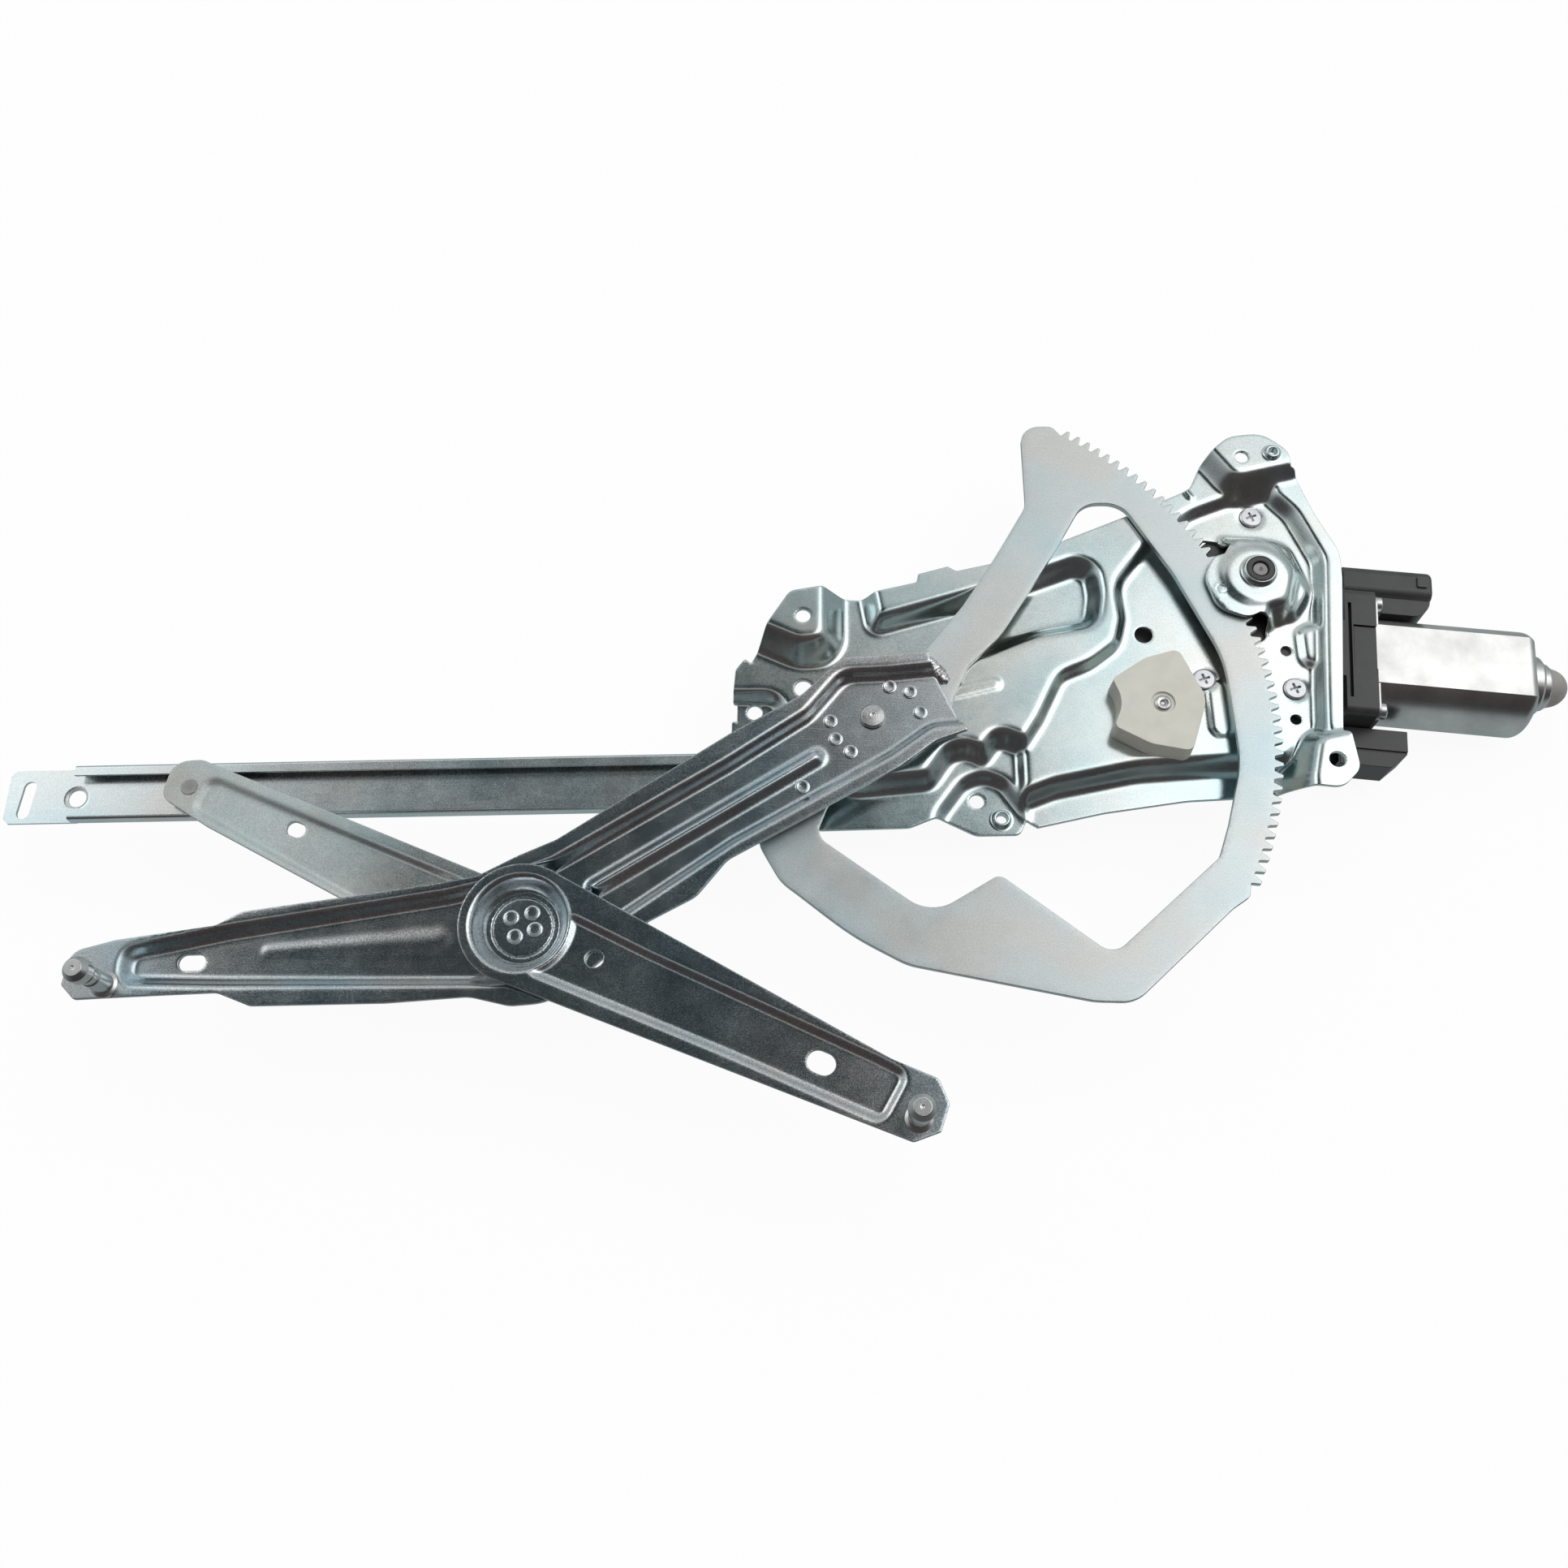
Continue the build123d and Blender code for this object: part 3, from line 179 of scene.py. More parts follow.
zincShared = dict(
    filmScale=16,  # slow drift from a bluish to a warm passivation film
    film=[(0.36, (0.86, 0.975, 1.0)), (0.5, (0.97, 1.0, 1.0)), (0.64, (1.0, 0.97, 0.93))],
    grainScale=1900,  # bright and dark crystals
    spangle=[(0.38, (0.55, 0.56, 0.57)), (0.5, (0.96, 0.96, 0.96)), (0.57, (1.08, 1.08, 1.08)),
             (0.66, (1.5, 1.5, 1.5))],
    speckRough=0.03, grainDepth=0.00004,
    # handling scratches: turn, stretch along, stretch across, and how rare they are
    scratchRuns=[(0.35, 24, 820, 0.60), (1.25, 30, 760, 0.62), (-0.6, 30, 760, 0.61), (2.3, 30, 760, 0.63)],
    scratchTint=(0.88, 0.88, 0.88), scratchBump=0.10, scratchDepth=0.00003,
    lineWidth=0.02, breakScale=45, breakReach=(0.52, 0.62),
)


def scratchesOf(tree, turn, length, thin, cut):  # sparse fine lines, broken by a slow noise
    black, white = (0, 0, 0), (1, 1, 1)
    width, (gone, whole) = zincShared["lineWidth"], zincShared["breakReach"]
    lines = noiseAt(tree, placeOf(tree, (length, thin, length), turn), 1.0, detail=1, rough=0.4)
    stops = [(0.0, black), (cut, black), (cut + width, white), (cut + 2 * width, black)]
    thinLines = rampOf(tree, lines, stops)
    slow = noiseAt(tree, placeOf(tree, turn=turn), zincShared["breakScale"], detail=2)
    breaks = rampOf(tree, slow, [(gone, black), (whole, white)])
    return blendTints(tree, 1.0, thinLines, breaks, "MULTIPLY")


def zincSheet(name):
    look, shared = zincLook[name], zincShared
    material, tree, shader = newMaterial(name, metallic=1.0)
    place = placeOf(tree)
    clouds = noiseAt(tree, place, look["cloud"], detail=6, rough=0.72)
    grain = noiseAt(tree, place, shared["grainScale"], detail=2)
    specks = noiseAt(tree, place, shared["grainScale"], detail=3, rough=0.7)
    base = rampOf(tree, clouds, [(0.25, look["dark"]), (0.75, look["light"])])
    film = rampOf(tree, noiseAt(tree, place, shared["filmScale"], detail=2, rough=0.5), shared["film"])
    base = blendTints(tree, 1.0, base, film, "MULTIPLY")
    spangle = rampOf(tree, specks, shared["spangle"])
    tint = blendTints(tree, look["grain"], base, spangle, "MULTIPLY")
    first, *others = shared["scratchRuns"]
    marks = scratchesOf(tree, *first)
    for run in others:
        marks = blendTints(tree, 1.0, marks, scratchesOf(tree, *run), "ADD")
    share = combined(tree, "MULTIPLY", marks, look["scratch"])
    tint = blendTints(tree, share, tint, shared["scratchTint"])
    tree.links.new(tint, shader.inputs["Base Color"])
    speckRough = spread(tree, specks, -shared["speckRough"], shared["speckRough"], fromLow=0.3, fromHigh=0.7)
    cloudRough = spread(tree, clouds, *look["rough"], fromLow=0.3, fromHigh=0.7)
    rough = combined(tree, "ADD", cloudRough, speckRough)
    if "dullEnd" in look:  # start, end and amount, along the part's length
        start, end, more = look["dullEnd"]
        along = addNode(tree, "ShaderNodeSeparateXYZ", [(place, "Vector")])
        duller = spread(tree, along.outputs["X"], more, 0.0, start, end, soft=True)
        rough = combined(tree, "ADD", rough, duller)
    tree.links.new(rough, shader.inputs["Roughness"])
    under = bumpFrom(tree, grain, shader, look["relief"], shared["grainDepth"])
    bumpFrom(tree, marks, shader, shared["scratchBump"], shared["scratchDepth"], under)
    return material


# bare and plated steel
steelLook = {
    "brightSteel": dict(tint=(0.66, 0.66, 0.65), rough=0.26, bump=0.08),
    "blueZinc": dict(tint=(0.67, 0.685, 0.70), rough=0.30, bump=0.08),
    "canSteel": dict(tint=(0.67, 0.665, 0.65), rough=0.30, bump=0.06),
    "darkSteel": dict(tint=(0.26, 0.255, 0.25), rough=0.38, bump=0.12),
    "gearSteel": dict(tint=(0.38, 0.38, 0.375), rough=0.30, bump=0.12),
}
steelShared = dict(cloudScale=60, fineScale=1400, darker=0.78, lighter=1.12, smoother=0.07, rougher=0.09,
                   depth=0.00005)


def plainSteel(name):
    look, shared = steelLook[name], steelShared
    material, tree, shader = newMaterial(name, metallic=1.0)
    clouds = noiseAt(tree, placeOf(tree), shared["cloudScale"])
    fine = noiseAt(tree, placeOf(tree), shared["fineScale"], detail=3)
    stops = [(0.25, scaled(look["tint"], shared["darker"])), (0.7, scaled(look["tint"], shared["lighter"]))]
    tree.links.new(rampOf(tree, clouds, stops), shader.inputs["Base Color"])
    rough = spread(tree, fine, look["rough"] - shared["smoother"], look["rough"] + shared["rougher"])
    tree.links.new(rough, shader.inputs["Roughness"])
    bumpFrom(tree, fine, shader, look["bump"], shared["depth"])
    return material


# studs with fine turning rings about their own axis; centre in mm
turnedLook = {
    "pivotSteel": dict(centre=(33.1, -54.6), tint=(0.74, 0.74, 0.73), rough=0.24),
    "pinSteel": dict(centre=(-286.2, -88.8), tint=(0.44, 0.44, 0.42), rough=0.34),
}
turnedShared = dict(ringScale=2600, ringBump=0.8, ringDepth=0.00008, cloudScale=140, darker=0.7, lighter=1.1,
                    smoother=0.05, rougher=0.1)


def turnedSteel(name):
    look, shared = turnedLook[name], turnedShared
    material, tree, shader = newMaterial(name, metallic=1.0)
    fromAxis = addNode(tree, "ShaderNodeVectorMath", [(placeOf(tree, (1, 1, 0)), 0)], operation="SUBTRACT")
    fromAxis.inputs[1].default_value = (look["centre"][0] * mm, look["centre"][1] * mm, 0)
    radius = addNode(tree, "ShaderNodeVectorMath", [(fromAxis.outputs[0], 0)], operation="LENGTH")
    rings = addNode(tree, "ShaderNodeTexNoise", [(radius.outputs["Value"], "W")], noise_dimensions="1D")
    rings.inputs["Scale"].default_value = shared["ringScale"]
    rings.inputs["Detail"].default_value = 3
    clouds = noiseAt(tree, placeOf(tree), shared["cloudScale"])
    stops = [(0.3, scaled(look["tint"], shared["darker"])), (0.7, scaled(look["tint"], shared["lighter"]))]
    tree.links.new(rampOf(tree, clouds, stops), shader.inputs["Base Color"])
    rough = spread(tree, clouds, look["rough"] - shared["smoother"], look["rough"] + shared["rougher"])
    tree.links.new(rough, shader.inputs["Roughness"])
    bumpFrom(tree, rings.outputs["Fac"], shader, shared["ringBump"], shared["ringDepth"])
    return material


# the weld's run: dark scale with bright metal showing through
weldLook = dict(scaleSize=330, rough=(0.30, 0.14), lumpSize=500, bump=0.35, depth=0.00012,
                tints=[(0.36, (0.22, 0.20, 0.19)), (0.5, (0.62, 0.62, 0.62)), (0.62, (0.88, 0.89, 0.90))])


def weldSteel():
    material, tree, shader = newMaterial("weldSteel", metallic=1.0)
    place = placeOf(tree)
    scale = noiseAt(tree, place, weldLook["scaleSize"], detail=5, rough=0.7)
    tree.links.new(rampOf(tree, scale, weldLook["tints"]), shader.inputs["Base Color"])
    rough = spread(tree, scale, *weldLook["rough"], fromLow=0.4, fromHigh=0.6)
    tree.links.new(rough, shader.inputs["Roughness"])
    lumps = noiseAt(tree, place, weldLook["lumpSize"], detail=3)
    bumpFrom(tree, lumps, shader, weldLook["bump"], weldLook["depth"])
    return material


# moulded plastic, rubber and ferrite
plasticLook = {
    "blackPlastic": dict(tint=(0.036, 0.036, 0.036), wear=(0.06, 0.06, 0.06),
                         rough=0.34, grain=1800, bump=0.25),
    "capPlastic": dict(tint=(0.32, 0.31, 0.295), wear=(0.30, 0.28, 0.26),
                       rough=0.45, grain=1500, bump=0.2),
    "blockPlastic": dict(tint=(0.62, 0.615, 0.54), wear=(0.72, 0.71, 0.64),
                         rough=0.45, grain=1200, bump=0.16),
    "wheelPlastic": dict(tint=(0.72, 0.68, 0.56), wear=(0.8, 0.77, 0.66),
                         rough=0.4, grain=1200, bump=0.1),
    "damperRubber": dict(tint=(0.03, 0.03, 0.03), wear=(0.07, 0.07, 0.07),
                         rough=0.75, grain=1500, bump=0.3),
    "magnet": dict(tint=(0.10, 0.10, 0.105), wear=(0.2, 0.2, 0.2),
                   rough=0.6, grain=1500, bump=0.4),
}
plasticShared = dict(cloudScale=90, smoother=0.08, rougher=0.12, depth=0.00005)


def moulded(name):
    look, shared = plasticLook[name], plasticShared
    material, tree, shader = newMaterial(name)
    place = placeOf(tree)
    clouds = noiseAt(tree, place, shared["cloudScale"])
    grain = noiseAt(tree, place, look["grain"], detail=2)
    tint = rampOf(tree, clouds, [(0.35, look["tint"]), (0.85, look["wear"])])
    tree.links.new(tint, shader.inputs["Base Color"])
    rough = spread(tree, clouds, look["rough"] - shared["smoother"], look["rough"] + shared["rougher"])
    tree.links.new(rough, shader.inputs["Roughness"])
    bumpFrom(tree, grain, shader, look["bump"], shared["depth"])
    return material


# contact pins, and the lacquered plates of the armature's core
innerLook = {
    "contactBrass": dict(metallic=1.0, scale=700, detail=4, soft=0.6, rough=(0.2, 0.38),
                         tints=[(0.3, (0.62, 0.43, 0.18)), (0.7, (0.84, 0.64, 0.33))]),
    "coreLacquer": dict(metallic=0.6, scale=1500, detail=2, soft=0.5, rough=(0.35, 0.55),
                        tints=[(0.35, (0.16, 0.12, 0.10)), (0.65, (0.34, 0.27, 0.22))]),
}


def mottledMetal(name):
    look = innerLook[name]
    material, tree, shader = newMaterial(name, metallic=look["metallic"])
    fine = noiseAt(tree, placeOf(tree), look["scale"], look["detail"], look["soft"])
    tree.links.new(rampOf(tree, fine, look["tints"]), shader.inputs["Base Color"])
    tree.links.new(spread(tree, fine, *look["rough"]), shader.inputs["Roughness"])
    return material


finishOf = {
    "zinc_plate": zincSheet("zincPlate"), "zinc_arm": zincSheet("zincArm"),
    "zinc_sector": zincSheet("zincSector"),
    "steel_bright": plainSteel("brightSteel"), "screw_zinc": plainSteel("blueZinc"),
    "can_steel": plainSteel("canSteel"), "dark_steel": plainSteel("darkSteel"),
    "gear_steel": plainSteel("gearSteel"),
    "black_plastic": moulded("blackPlastic"), "cap_plastic": moulded("capPlastic"),
    "block_plastic": moulded("blockPlastic"), "wheel_plastic": moulded("wheelPlastic"),
    "damper_rubber": moulded("damperRubber"), "magnet": moulded("magnet"),
    "contact_brass": mottledMetal("contactBrass"), "core_steel": mottledMetal("coreLacquer"),
}
print("finishes ready:", len(finishOf))


# helpers for the pieces
def linked(name, data):
    holder = bpy.data.objects.new(name, data)
    bpy.context.scene.collection.objects.link(holder)
    return holder


def addPiece(name, mesh, node, smoothAngle=40, finish=None, stands=True):  # stands: it takes the node's place
    piece = linked(name, mesh)
    mesh.materials.clear()
    mesh.materials.append(finish or finishOf[slotOf[node]])
    mesh.polygons.foreach_set("use_smooth", [True] * len(mesh.polygons))
    mesh.set_sharp_from_angle(angle=math.radians(smoothAngle))
    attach(piece, bodyOf[node])
    if stands:
        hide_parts(node)
    return piece


def addBevel(piece, name, width, segments):
    bevel = piece.modifiers.new(name, "BEVEL")
    bevel.width = width * mm
    bevel.segments = segments
    return bevel


def evenShading(piece):  # keeps wide faces flat in the light, beside narrow bends
    shade = piece.modifiers.new("evenShade", "WEIGHTED_NORMAL")
    shade.keep_sharp = True


def nodeSolid(node):  # the CAD node as one welded bmesh
    solid = bmesh.new()
    solid.from_mesh(nodes[node].data)
    bmesh.ops.remove_doubles(solid, verts=solid.verts, dist=mergeGap)
    return solid


def meshFrom(solid, name):
    mesh = bpy.data.meshes.new(name)
    solid.to_mesh(mesh)
    solid.free()
    return mesh


def evenTurns(count):
    return np.linspace(0, fullTurn, count, endpoint=False)


def circleOf(x, y, radius, count):
    turns = evenTurns(count)
    return np.stack([x + radius * np.cos(turns), y + radius * np.sin(turns)], 1)


# pressed sheets: what all of them share; lengths in mm, angles in degrees
# rimStep, holeStep, rowStep and rimGap are shares of a sheet's own step
pressing = dict(
    cell=0.7, margin=6, carriedCells=24,  # grid of heights, and how far it runs on past the rims
    faceSlope=0.25, cutSlope=(0.15, 0.3),  # upward lean of an outer face, and of a cut edge's two faces
    rimStep=0.8, holeStep=0.6, leastSteps=60, roundPoints=40, holePoints=24,  # spacing along the rims
    cornerAngle=38.0, straightRatio=4, roundness=0.04, mitre=0.6,  # what counts as a corner, a run, a circle
    rowStep=0.866, rimGap=0.55, ringGap=0.35, ringStep=0.7,  # spacing of the points between the rims
    collarSkirt=0.4, collarClear=1.0, collarTurns=48, collarFoot=1.9, smoothAngle=50,
)


def cutLoops(node):  # upper rims of a sheet's cut edges, as closed loops of points in mm
    solid = nodeSolid(node)
    solid.normal_update()
    upright, outer = pressing["cutSlope"]
    rim = {}
    for edge in solid.edges:
        if len(edge.link_faces) != 2:
            continue
        slopes = sorted(face.normal.z for face in edge.link_faces)
        if abs(slopes[0]) < upright and slopes[1] > outer:
            a, b = (v.index for v in edge.verts)
            rim.setdefault(a, []).append(b)
            rim.setdefault(b, []).append(a)
    places = [v.co.copy() / mm for v in solid.verts]
    solid.free()
    loops, used = [], set()
    for start in rim:
        if start in used:
            continue
        loop, here, before = [], start, None
        while here not in used:
            used.add(here)
            loop.append(places[here])
            onward = [n for n in rim[here] if n != before and n not in used]
            if not onward:
                break
            before, here = here, onward[0]
        if len(loop) > 5:
            loops.append(np.array([(p.x, p.y) for p in loop]))
    return loops


def areaOf(loop):
    x, y = loop[:, 0], loop[:, 1]
    return 0.5 * float(np.sum(x * np.roll(y, -1) - np.roll(x, -1) * y))


def legsOf(loop):
    legs = np.roll(loop, -1, 0) - loop
    lengths = np.hypot(legs[:, 0], legs[:, 1])
    return legs, lengths


def roundHole(loop, step):  # an even circle where a rim is one, or nothing
    middle = 0.5 * (loop.max(0) + loop.min(0))
    reach = np.hypot(*(loop - middle).T)
    radius = reach.mean()
    if len(loop) < 10 or reach.max() - reach.min() > pressing["roundness"] * radius:
        return None
    return circleOf(*middle, radius, max(pressing["roundPoints"], int(fullTurn * radius / step)))


def smoothLoop(loop, step):  # arcs between a rim's corners, at even steps
    circle = roundHole(loop, step)
    if circle is not None:
        return circle
    count = len(loop)
    legs, lengths = legsOf(loop)
    units = legs / lengths[:, None]
    straightRatio = pressing["straightRatio"]
    tangents = []
    for i in range(count):
        before, after = units[i - 1], units[i]
        turn = math.degrees(math.atan2(before[0] * after[1] - before[1] * after[0], float(before @ after)))
        longBefore, longAfter = lengths[i - 1], lengths[i]
        if abs(turn) > pressing["cornerAngle"]:
            tangents.append((before, after))
        elif longBefore > straightRatio * longAfter:  # a straight run keeps its direction up to an arc
            tangents.append((before, before))
        elif longAfter > straightRatio * longBefore:
            tangents.append((after, after))
        else:
            both = before * longAfter + after * longBefore
            both = both / np.hypot(*both)
            tangents.append((both, both))
    step = min(step, float(lengths.sum()) / pressing["leastSteps"])
    points = []
    for i in range(count):
        a, b, reach = loop[i], loop[(i + 1) % count], lengths[i]
        ta, tb = tangents[i][1] * reach, tangents[(i + 1) % count][0] * reach
        parts = max(1, int(round(reach / step)))
        for k in range(parts):
            t = k / parts
            points.append((2 * t**3 - 3 * t**2 + 1) * a + (t**3 - 2 * t**2 + t) * ta
                          + (3 * t**2 - 2 * t**3) * b + (t**3 - t**2) * tb)
    return np.array(points)


def inwardOf(loop):  # unit steps into the sheet at each point; the sheet lies on the loop's left
    legs, lengths = legsOf(loop)
    legs /= np.maximum(lengths, 1e-9)[:, None]
    left = np.stack([-legs[:, 1], legs[:, 0]], 1)
    both = left + np.roll(left, 1, 0)
    both /= np.maximum(np.hypot(both[:, 0], both[:, 1]), 1e-9)[:, None]
    share = np.maximum(np.sum(both * left, 1), pressing["mitre"])
    return both / share[:, None]


def heightsOver(node, low, shape, clear):  # heights of the sheet's outer face on a grid, in mm
    solid = nodeSolid(node)
    tree = BVHTree.FromBMesh(solid)
    solid.free()
    cell = pressing["cell"]
    heights, known = np.zeros(shape), np.zeros(shape)
    down = Vector((0, 0, -1))
    for i in range(shape[0]):
        for j in range(shape[1]):
            x, y = low[0] + i * cell, low[1] + j * cell
            if any((x - a) ** 2 + (y - b) ** 2 < r * r for a, b, r in clear):
                continue
            hit, normal, *_ = tree.ray_cast(Vector((x * mm, y * mm, 1.0)), down)
            if hit is not None and normal.z > pressing["faceSlope"]:
                heights[i, j], known[i, j] = hit.z / mm, 1.0
    return heights, known


def grownOut(heights, known, rounds):  # carries the sheet's heights on past its rims
    heights, known = heights * known, known.copy()
    for _ in range(rounds):
        total, count = np.zeros_like(heights), np.zeros_like(known)
        for di, dj in ((1, 0), (-1, 0), (0, 1), (0, -1), (1, 1), (-1, -1), (1, -1), (-1, 1)):
            total += np.roll(heights, (di, dj), (0, 1))
            count += np.roll(known, (di, dj), (0, 1))
        fresh = (known == 0) & (count > 0)
        heights = np.where(fresh, total / np.maximum(count, 1), heights)
        known = np.where(fresh, 1.0, known)
    return heights, known


def blurred(heights, known, sigma):  # soft bends; the rim keeps its own height
    reach = int(math.ceil(3 * sigma))
    weights = [math.exp(-0.5 * (k / sigma) ** 2) for k in range(-reach, reach + 1)]
    top, mask = heights * known, known.copy()
    for axis in (0, 1):
        sumTop, sumMask = np.zeros_like(top), np.zeros_like(mask)
        for k, weight in zip(range(-reach, reach + 1), weights):
            sumTop += weight * np.roll(top, k, axis)
            sumMask += weight * np.roll(mask, k, axis)
        top, mask = sumTop, sumMask
    return np.where(mask > 1e-6, top / np.maximum(mask, 1e-6), 0.0)


def sampler(field, low, cell):
    def at(points):
        u = np.clip((points[:, 0] - low[0]) / cell, 0, field.shape[0] - 1.001)
        v = np.clip((points[:, 1] - low[1]) / cell, 0, field.shape[1] - 1.001)
        i, j = u.astype(int), v.astype(int)
        s, t = u - i, v - j
        return ((1 - s) * (1 - t) * field[i, j] + s * (1 - t) * field[i + 1, j]
                + (1 - s) * t * field[i, j + 1] + s * t * field[i + 1, j + 1])
    return at


def sheetHeights(node, bend, clear):  # the sheet's outer face with its bends softened
    lowest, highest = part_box(node)
    cell, margin = pressing["cell"], pressing["margin"]
    low = np.array([lowest.x / mm - margin, lowest.y / mm - margin])
    shape = (int((highest.x / mm - low[0] + margin) / cell) + 1,
             int((highest.y / mm - low[1] + margin) / cell) + 1)
    whole, filled = grownOut(*heightsOver(node, low, shape, clear), pressing["carriedCells"])
    if bend > 0:
        whole = blurred(whole, filled, bend / cell)
    return sampler(whole, low, cell)


def sheetRims(node, step, collars, clear):  # the outline first, then the holes, which run clockwise
    rimStep = step * pressing["rimStep"]
    loops = [smoothLoop(rim if areaOf(rim) > 0 else rim[::-1], rimStep) for rim in cutLoops(node)]
    loops = [rim for rim in loops if not any(np.hypot(*(rim.mean(0) - (a, b))) < r for a, b, r in clear)]
    loops.sort(key=lambda rim: -abs(areaOf(rim)))
    for x, y, inner, outer, level, top in collars:
        radius = outer + pressing["collarSkirt"]
        count = int(fullTurn * radius / (step * pressing["holeStep"]))
        loops.append(circleOf(x, y, radius, max(pressing["holePoints"], count)))
    return [loops[0]] + [hole[::-1] for hole in loops[1:]]


def crossings(x, y, loops):  # how many rim legs lie to the right of a point
    count = 0
    for loop in loops:
        ends = np.roll(loop, -1, 0)
        spans = (loop[:, 1] > y) != (ends[:, 1] > y)
        p, q = loop[spans], ends[spans]
        count += int(np.sum(p[:, 0] + (y - p[:, 1]) * (q[:, 0] - p[:, 0]) / (q[:, 1] - p[:, 1]) > x))
    return count


def insideFaces(points, faces, walls, loops):  # keeps each patch of faces that lies within the rims
    beside = {}
    for index, face in enumerate(faces):
        for k in range(len(face)):
            a, b = face[k], face[(k + 1) % len(face)]
            beside.setdefault((min(a, b), max(a, b)), []).append(index)
    nextTo = [[] for _ in faces]
    for side, pair in beside.items():
        if len(pair) == 2 and side not in walls:
            nextTo[pair[0]].append(pair[1])
            nextTo[pair[1]].append(pair[0])
    kept, seen = [], [False] * len(faces)
    for start in range(len(faces)):
        if seen[start]:
            continue
        patch, waiting = [], [start]
        seen[start] = True
        while waiting:
            index = waiting.pop()
            patch.append(index)
            for other in nextTo[index]:
                if not seen[other]:
                    seen[other] = True
                    waiting.append(other)
        sample = patch[:200]  # enough faces to find one that is no sliver
        largest = max(sample, key=lambda i: abs(areaOf(points[list(faces[i])])))
        x, y = points[list(faces[largest])].mean(0)
        if crossings(x, y, loops) % 2 == 1:
            kept += patch
    return [faces[i] for i in kept]


def beadHeights(points, beads):  # raised beads: start, end, half width at each, height, firmness of the flank
    raised = np.zeros(len(points))
    for (ax, ay), (bx, by), widthA, widthB, height, firm in beads:
        along = np.array([bx - ax, by - ay])
        fromStart = points - np.array([ax, ay])
        t = np.clip(fromStart @ along / float(along @ along), 0, 1)
        away = np.hypot(*(fromStart - t[:, None] * along).T) / (widthA + t * (widthB - widthA))
        lift = np.clip((1.0 - away) * firm, 0, 1)
        growing = 0.3 + 0.7 * t if widthA < widthB else 1.0  # a bead that widens also rises
        raised += height * growing * lift * lift * (3 - 2 * lift)
    return raised


def ringHeights(points, rings):  # turned grooves: centre, radius, half width, depth
    sunk = np.zeros(len(points))
    for x, y, radius, width, depth in rings:
        away = np.abs(np.hypot(points[:, 0] - x, points[:, 1] - y) - radius)
        sunk -= depth * np.clip(1.0 - away / width, 0, 1)
    return sunk


def ringPoints(rings):
    places = []
    for x, y, radius, width, depth in rings:
        for r in (radius - width, radius, radius + width):
            turns = evenTurns(int(fullTurn * r / pressing["ringStep"]))
            places += [(x + r * math.cos(t), y + r * math.sin(t)) for t in turns]
    return places


def gridPoints(node, step, insets, rings):  # staggered rows of points that keep off the rims and rings
    lowest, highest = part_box(node)
    rimTree = KDTree(sum(len(inset) for inset in insets))
    for i, p in enumerate(np.concatenate(insets)):
        rimTree.insert((p[0], p[1], 0), i)
    rimTree.balance()
    rowStep, ringGap = pressing["rowStep"], pressing["ringGap"]
    rows = int((highest.y - lowest.y) / mm / (step * rowStep)) + 2
    columns = int((highest.x - lowest.x) / mm / step) + 2
    points = []
    for j in range(rows):
        for i in range(columns):
            x, y = lowest.x / mm + (i + 0.5 * (j % 2)) * step, lowest.y / mm + j * step * rowStep
            nearRing = any(abs(math.hypot(x - a, y - b) - r) < w + ringGap for a, b, r, w, depth in rings)
            if rimTree.find((x, y, 0))[2] > step * pressing["rimGap"] and not nearRing:
                points.append((x, y))
    return points + ringPoints(rings)


def sheetPlan(node, step, insets, rings):  # triangles between the rims, seen from above
    places = [Vector(p) for inset in insets for p in inset]
    places += [Vector(p) for p in gridPoints(node, step, insets, rings)]
    edges, start = [], 0
    for inset in insets:
        count = len(inset)
        edges += [(start + k, start + (k + 1) % count) for k in range(count)]
        start += count
    points, legs, faces, origins, legOrigins, _ = delaunay_2d_cdt(places, edges, [], 0, 1e-5)
    homes = {}  # where each given point went
    for new, olds in enumerate(origins):
        for old in olds:
            homes[old] = new
    walls = {(min(leg), max(leg)) for leg, olds in zip(legs, legOrigins) if len(olds)}
    plan = np.array([(p.x, p.y) for p in points])
    return plan, insideFaces(plan, faces, walls, insets), homes


def rimBands(loop, inset, top, thick, edge):  # the rolled edge: four rows of points, from the outer face down
    nearRim = loop + 0.3 * (inset - loop)
    return [(nearRim, top - 0.3 * edge), (loop, top - edge),
            (loop, top - thick + 0.5 * edge), (nearRim, top - thick + 0.12 * edge)]


def addCollar(solid, thick, x, y, inner, outer, level, top):  # a drawn collar with a soft foot
    foot = outer + pressing["collarFoot"]
    # its section, as radius and height: foot, wall, rolled mouth, and back down the bore
    profile = [(foot, level + 0.03), (outer + 1.1, level + 0.12), (outer + 0.45, level + 0.45),
               (outer + 0.1, level + 1.0), (outer, level + 1.5), (outer, top - 0.45),
               (outer - 0.12, top - 0.12), (outer - 0.4, top), (inner + 0.3, top),
               (inner + 0.06, top - 0.15), (inner, top - 0.5), (inner, level - thick), (foot, level - thick)]
    turns = pressing["collarTurns"]
    rings = []
    for k in range(turns):
        turn = fullTurn * k / turns
        rings.append([solid.verts.new(((x + r * math.cos(turn)) * mm, (y + r * math.sin(turn)) * mm, z * mm))
                      for r, z in profile])
    for k in range(turns):
        here, after = rings[k], rings[(k + 1) % turns]
        for j in range(len(profile)):
            i = (j + 1) % len(profile)
            solid.faces.new((here[j], after[j], after[i], here[i]))


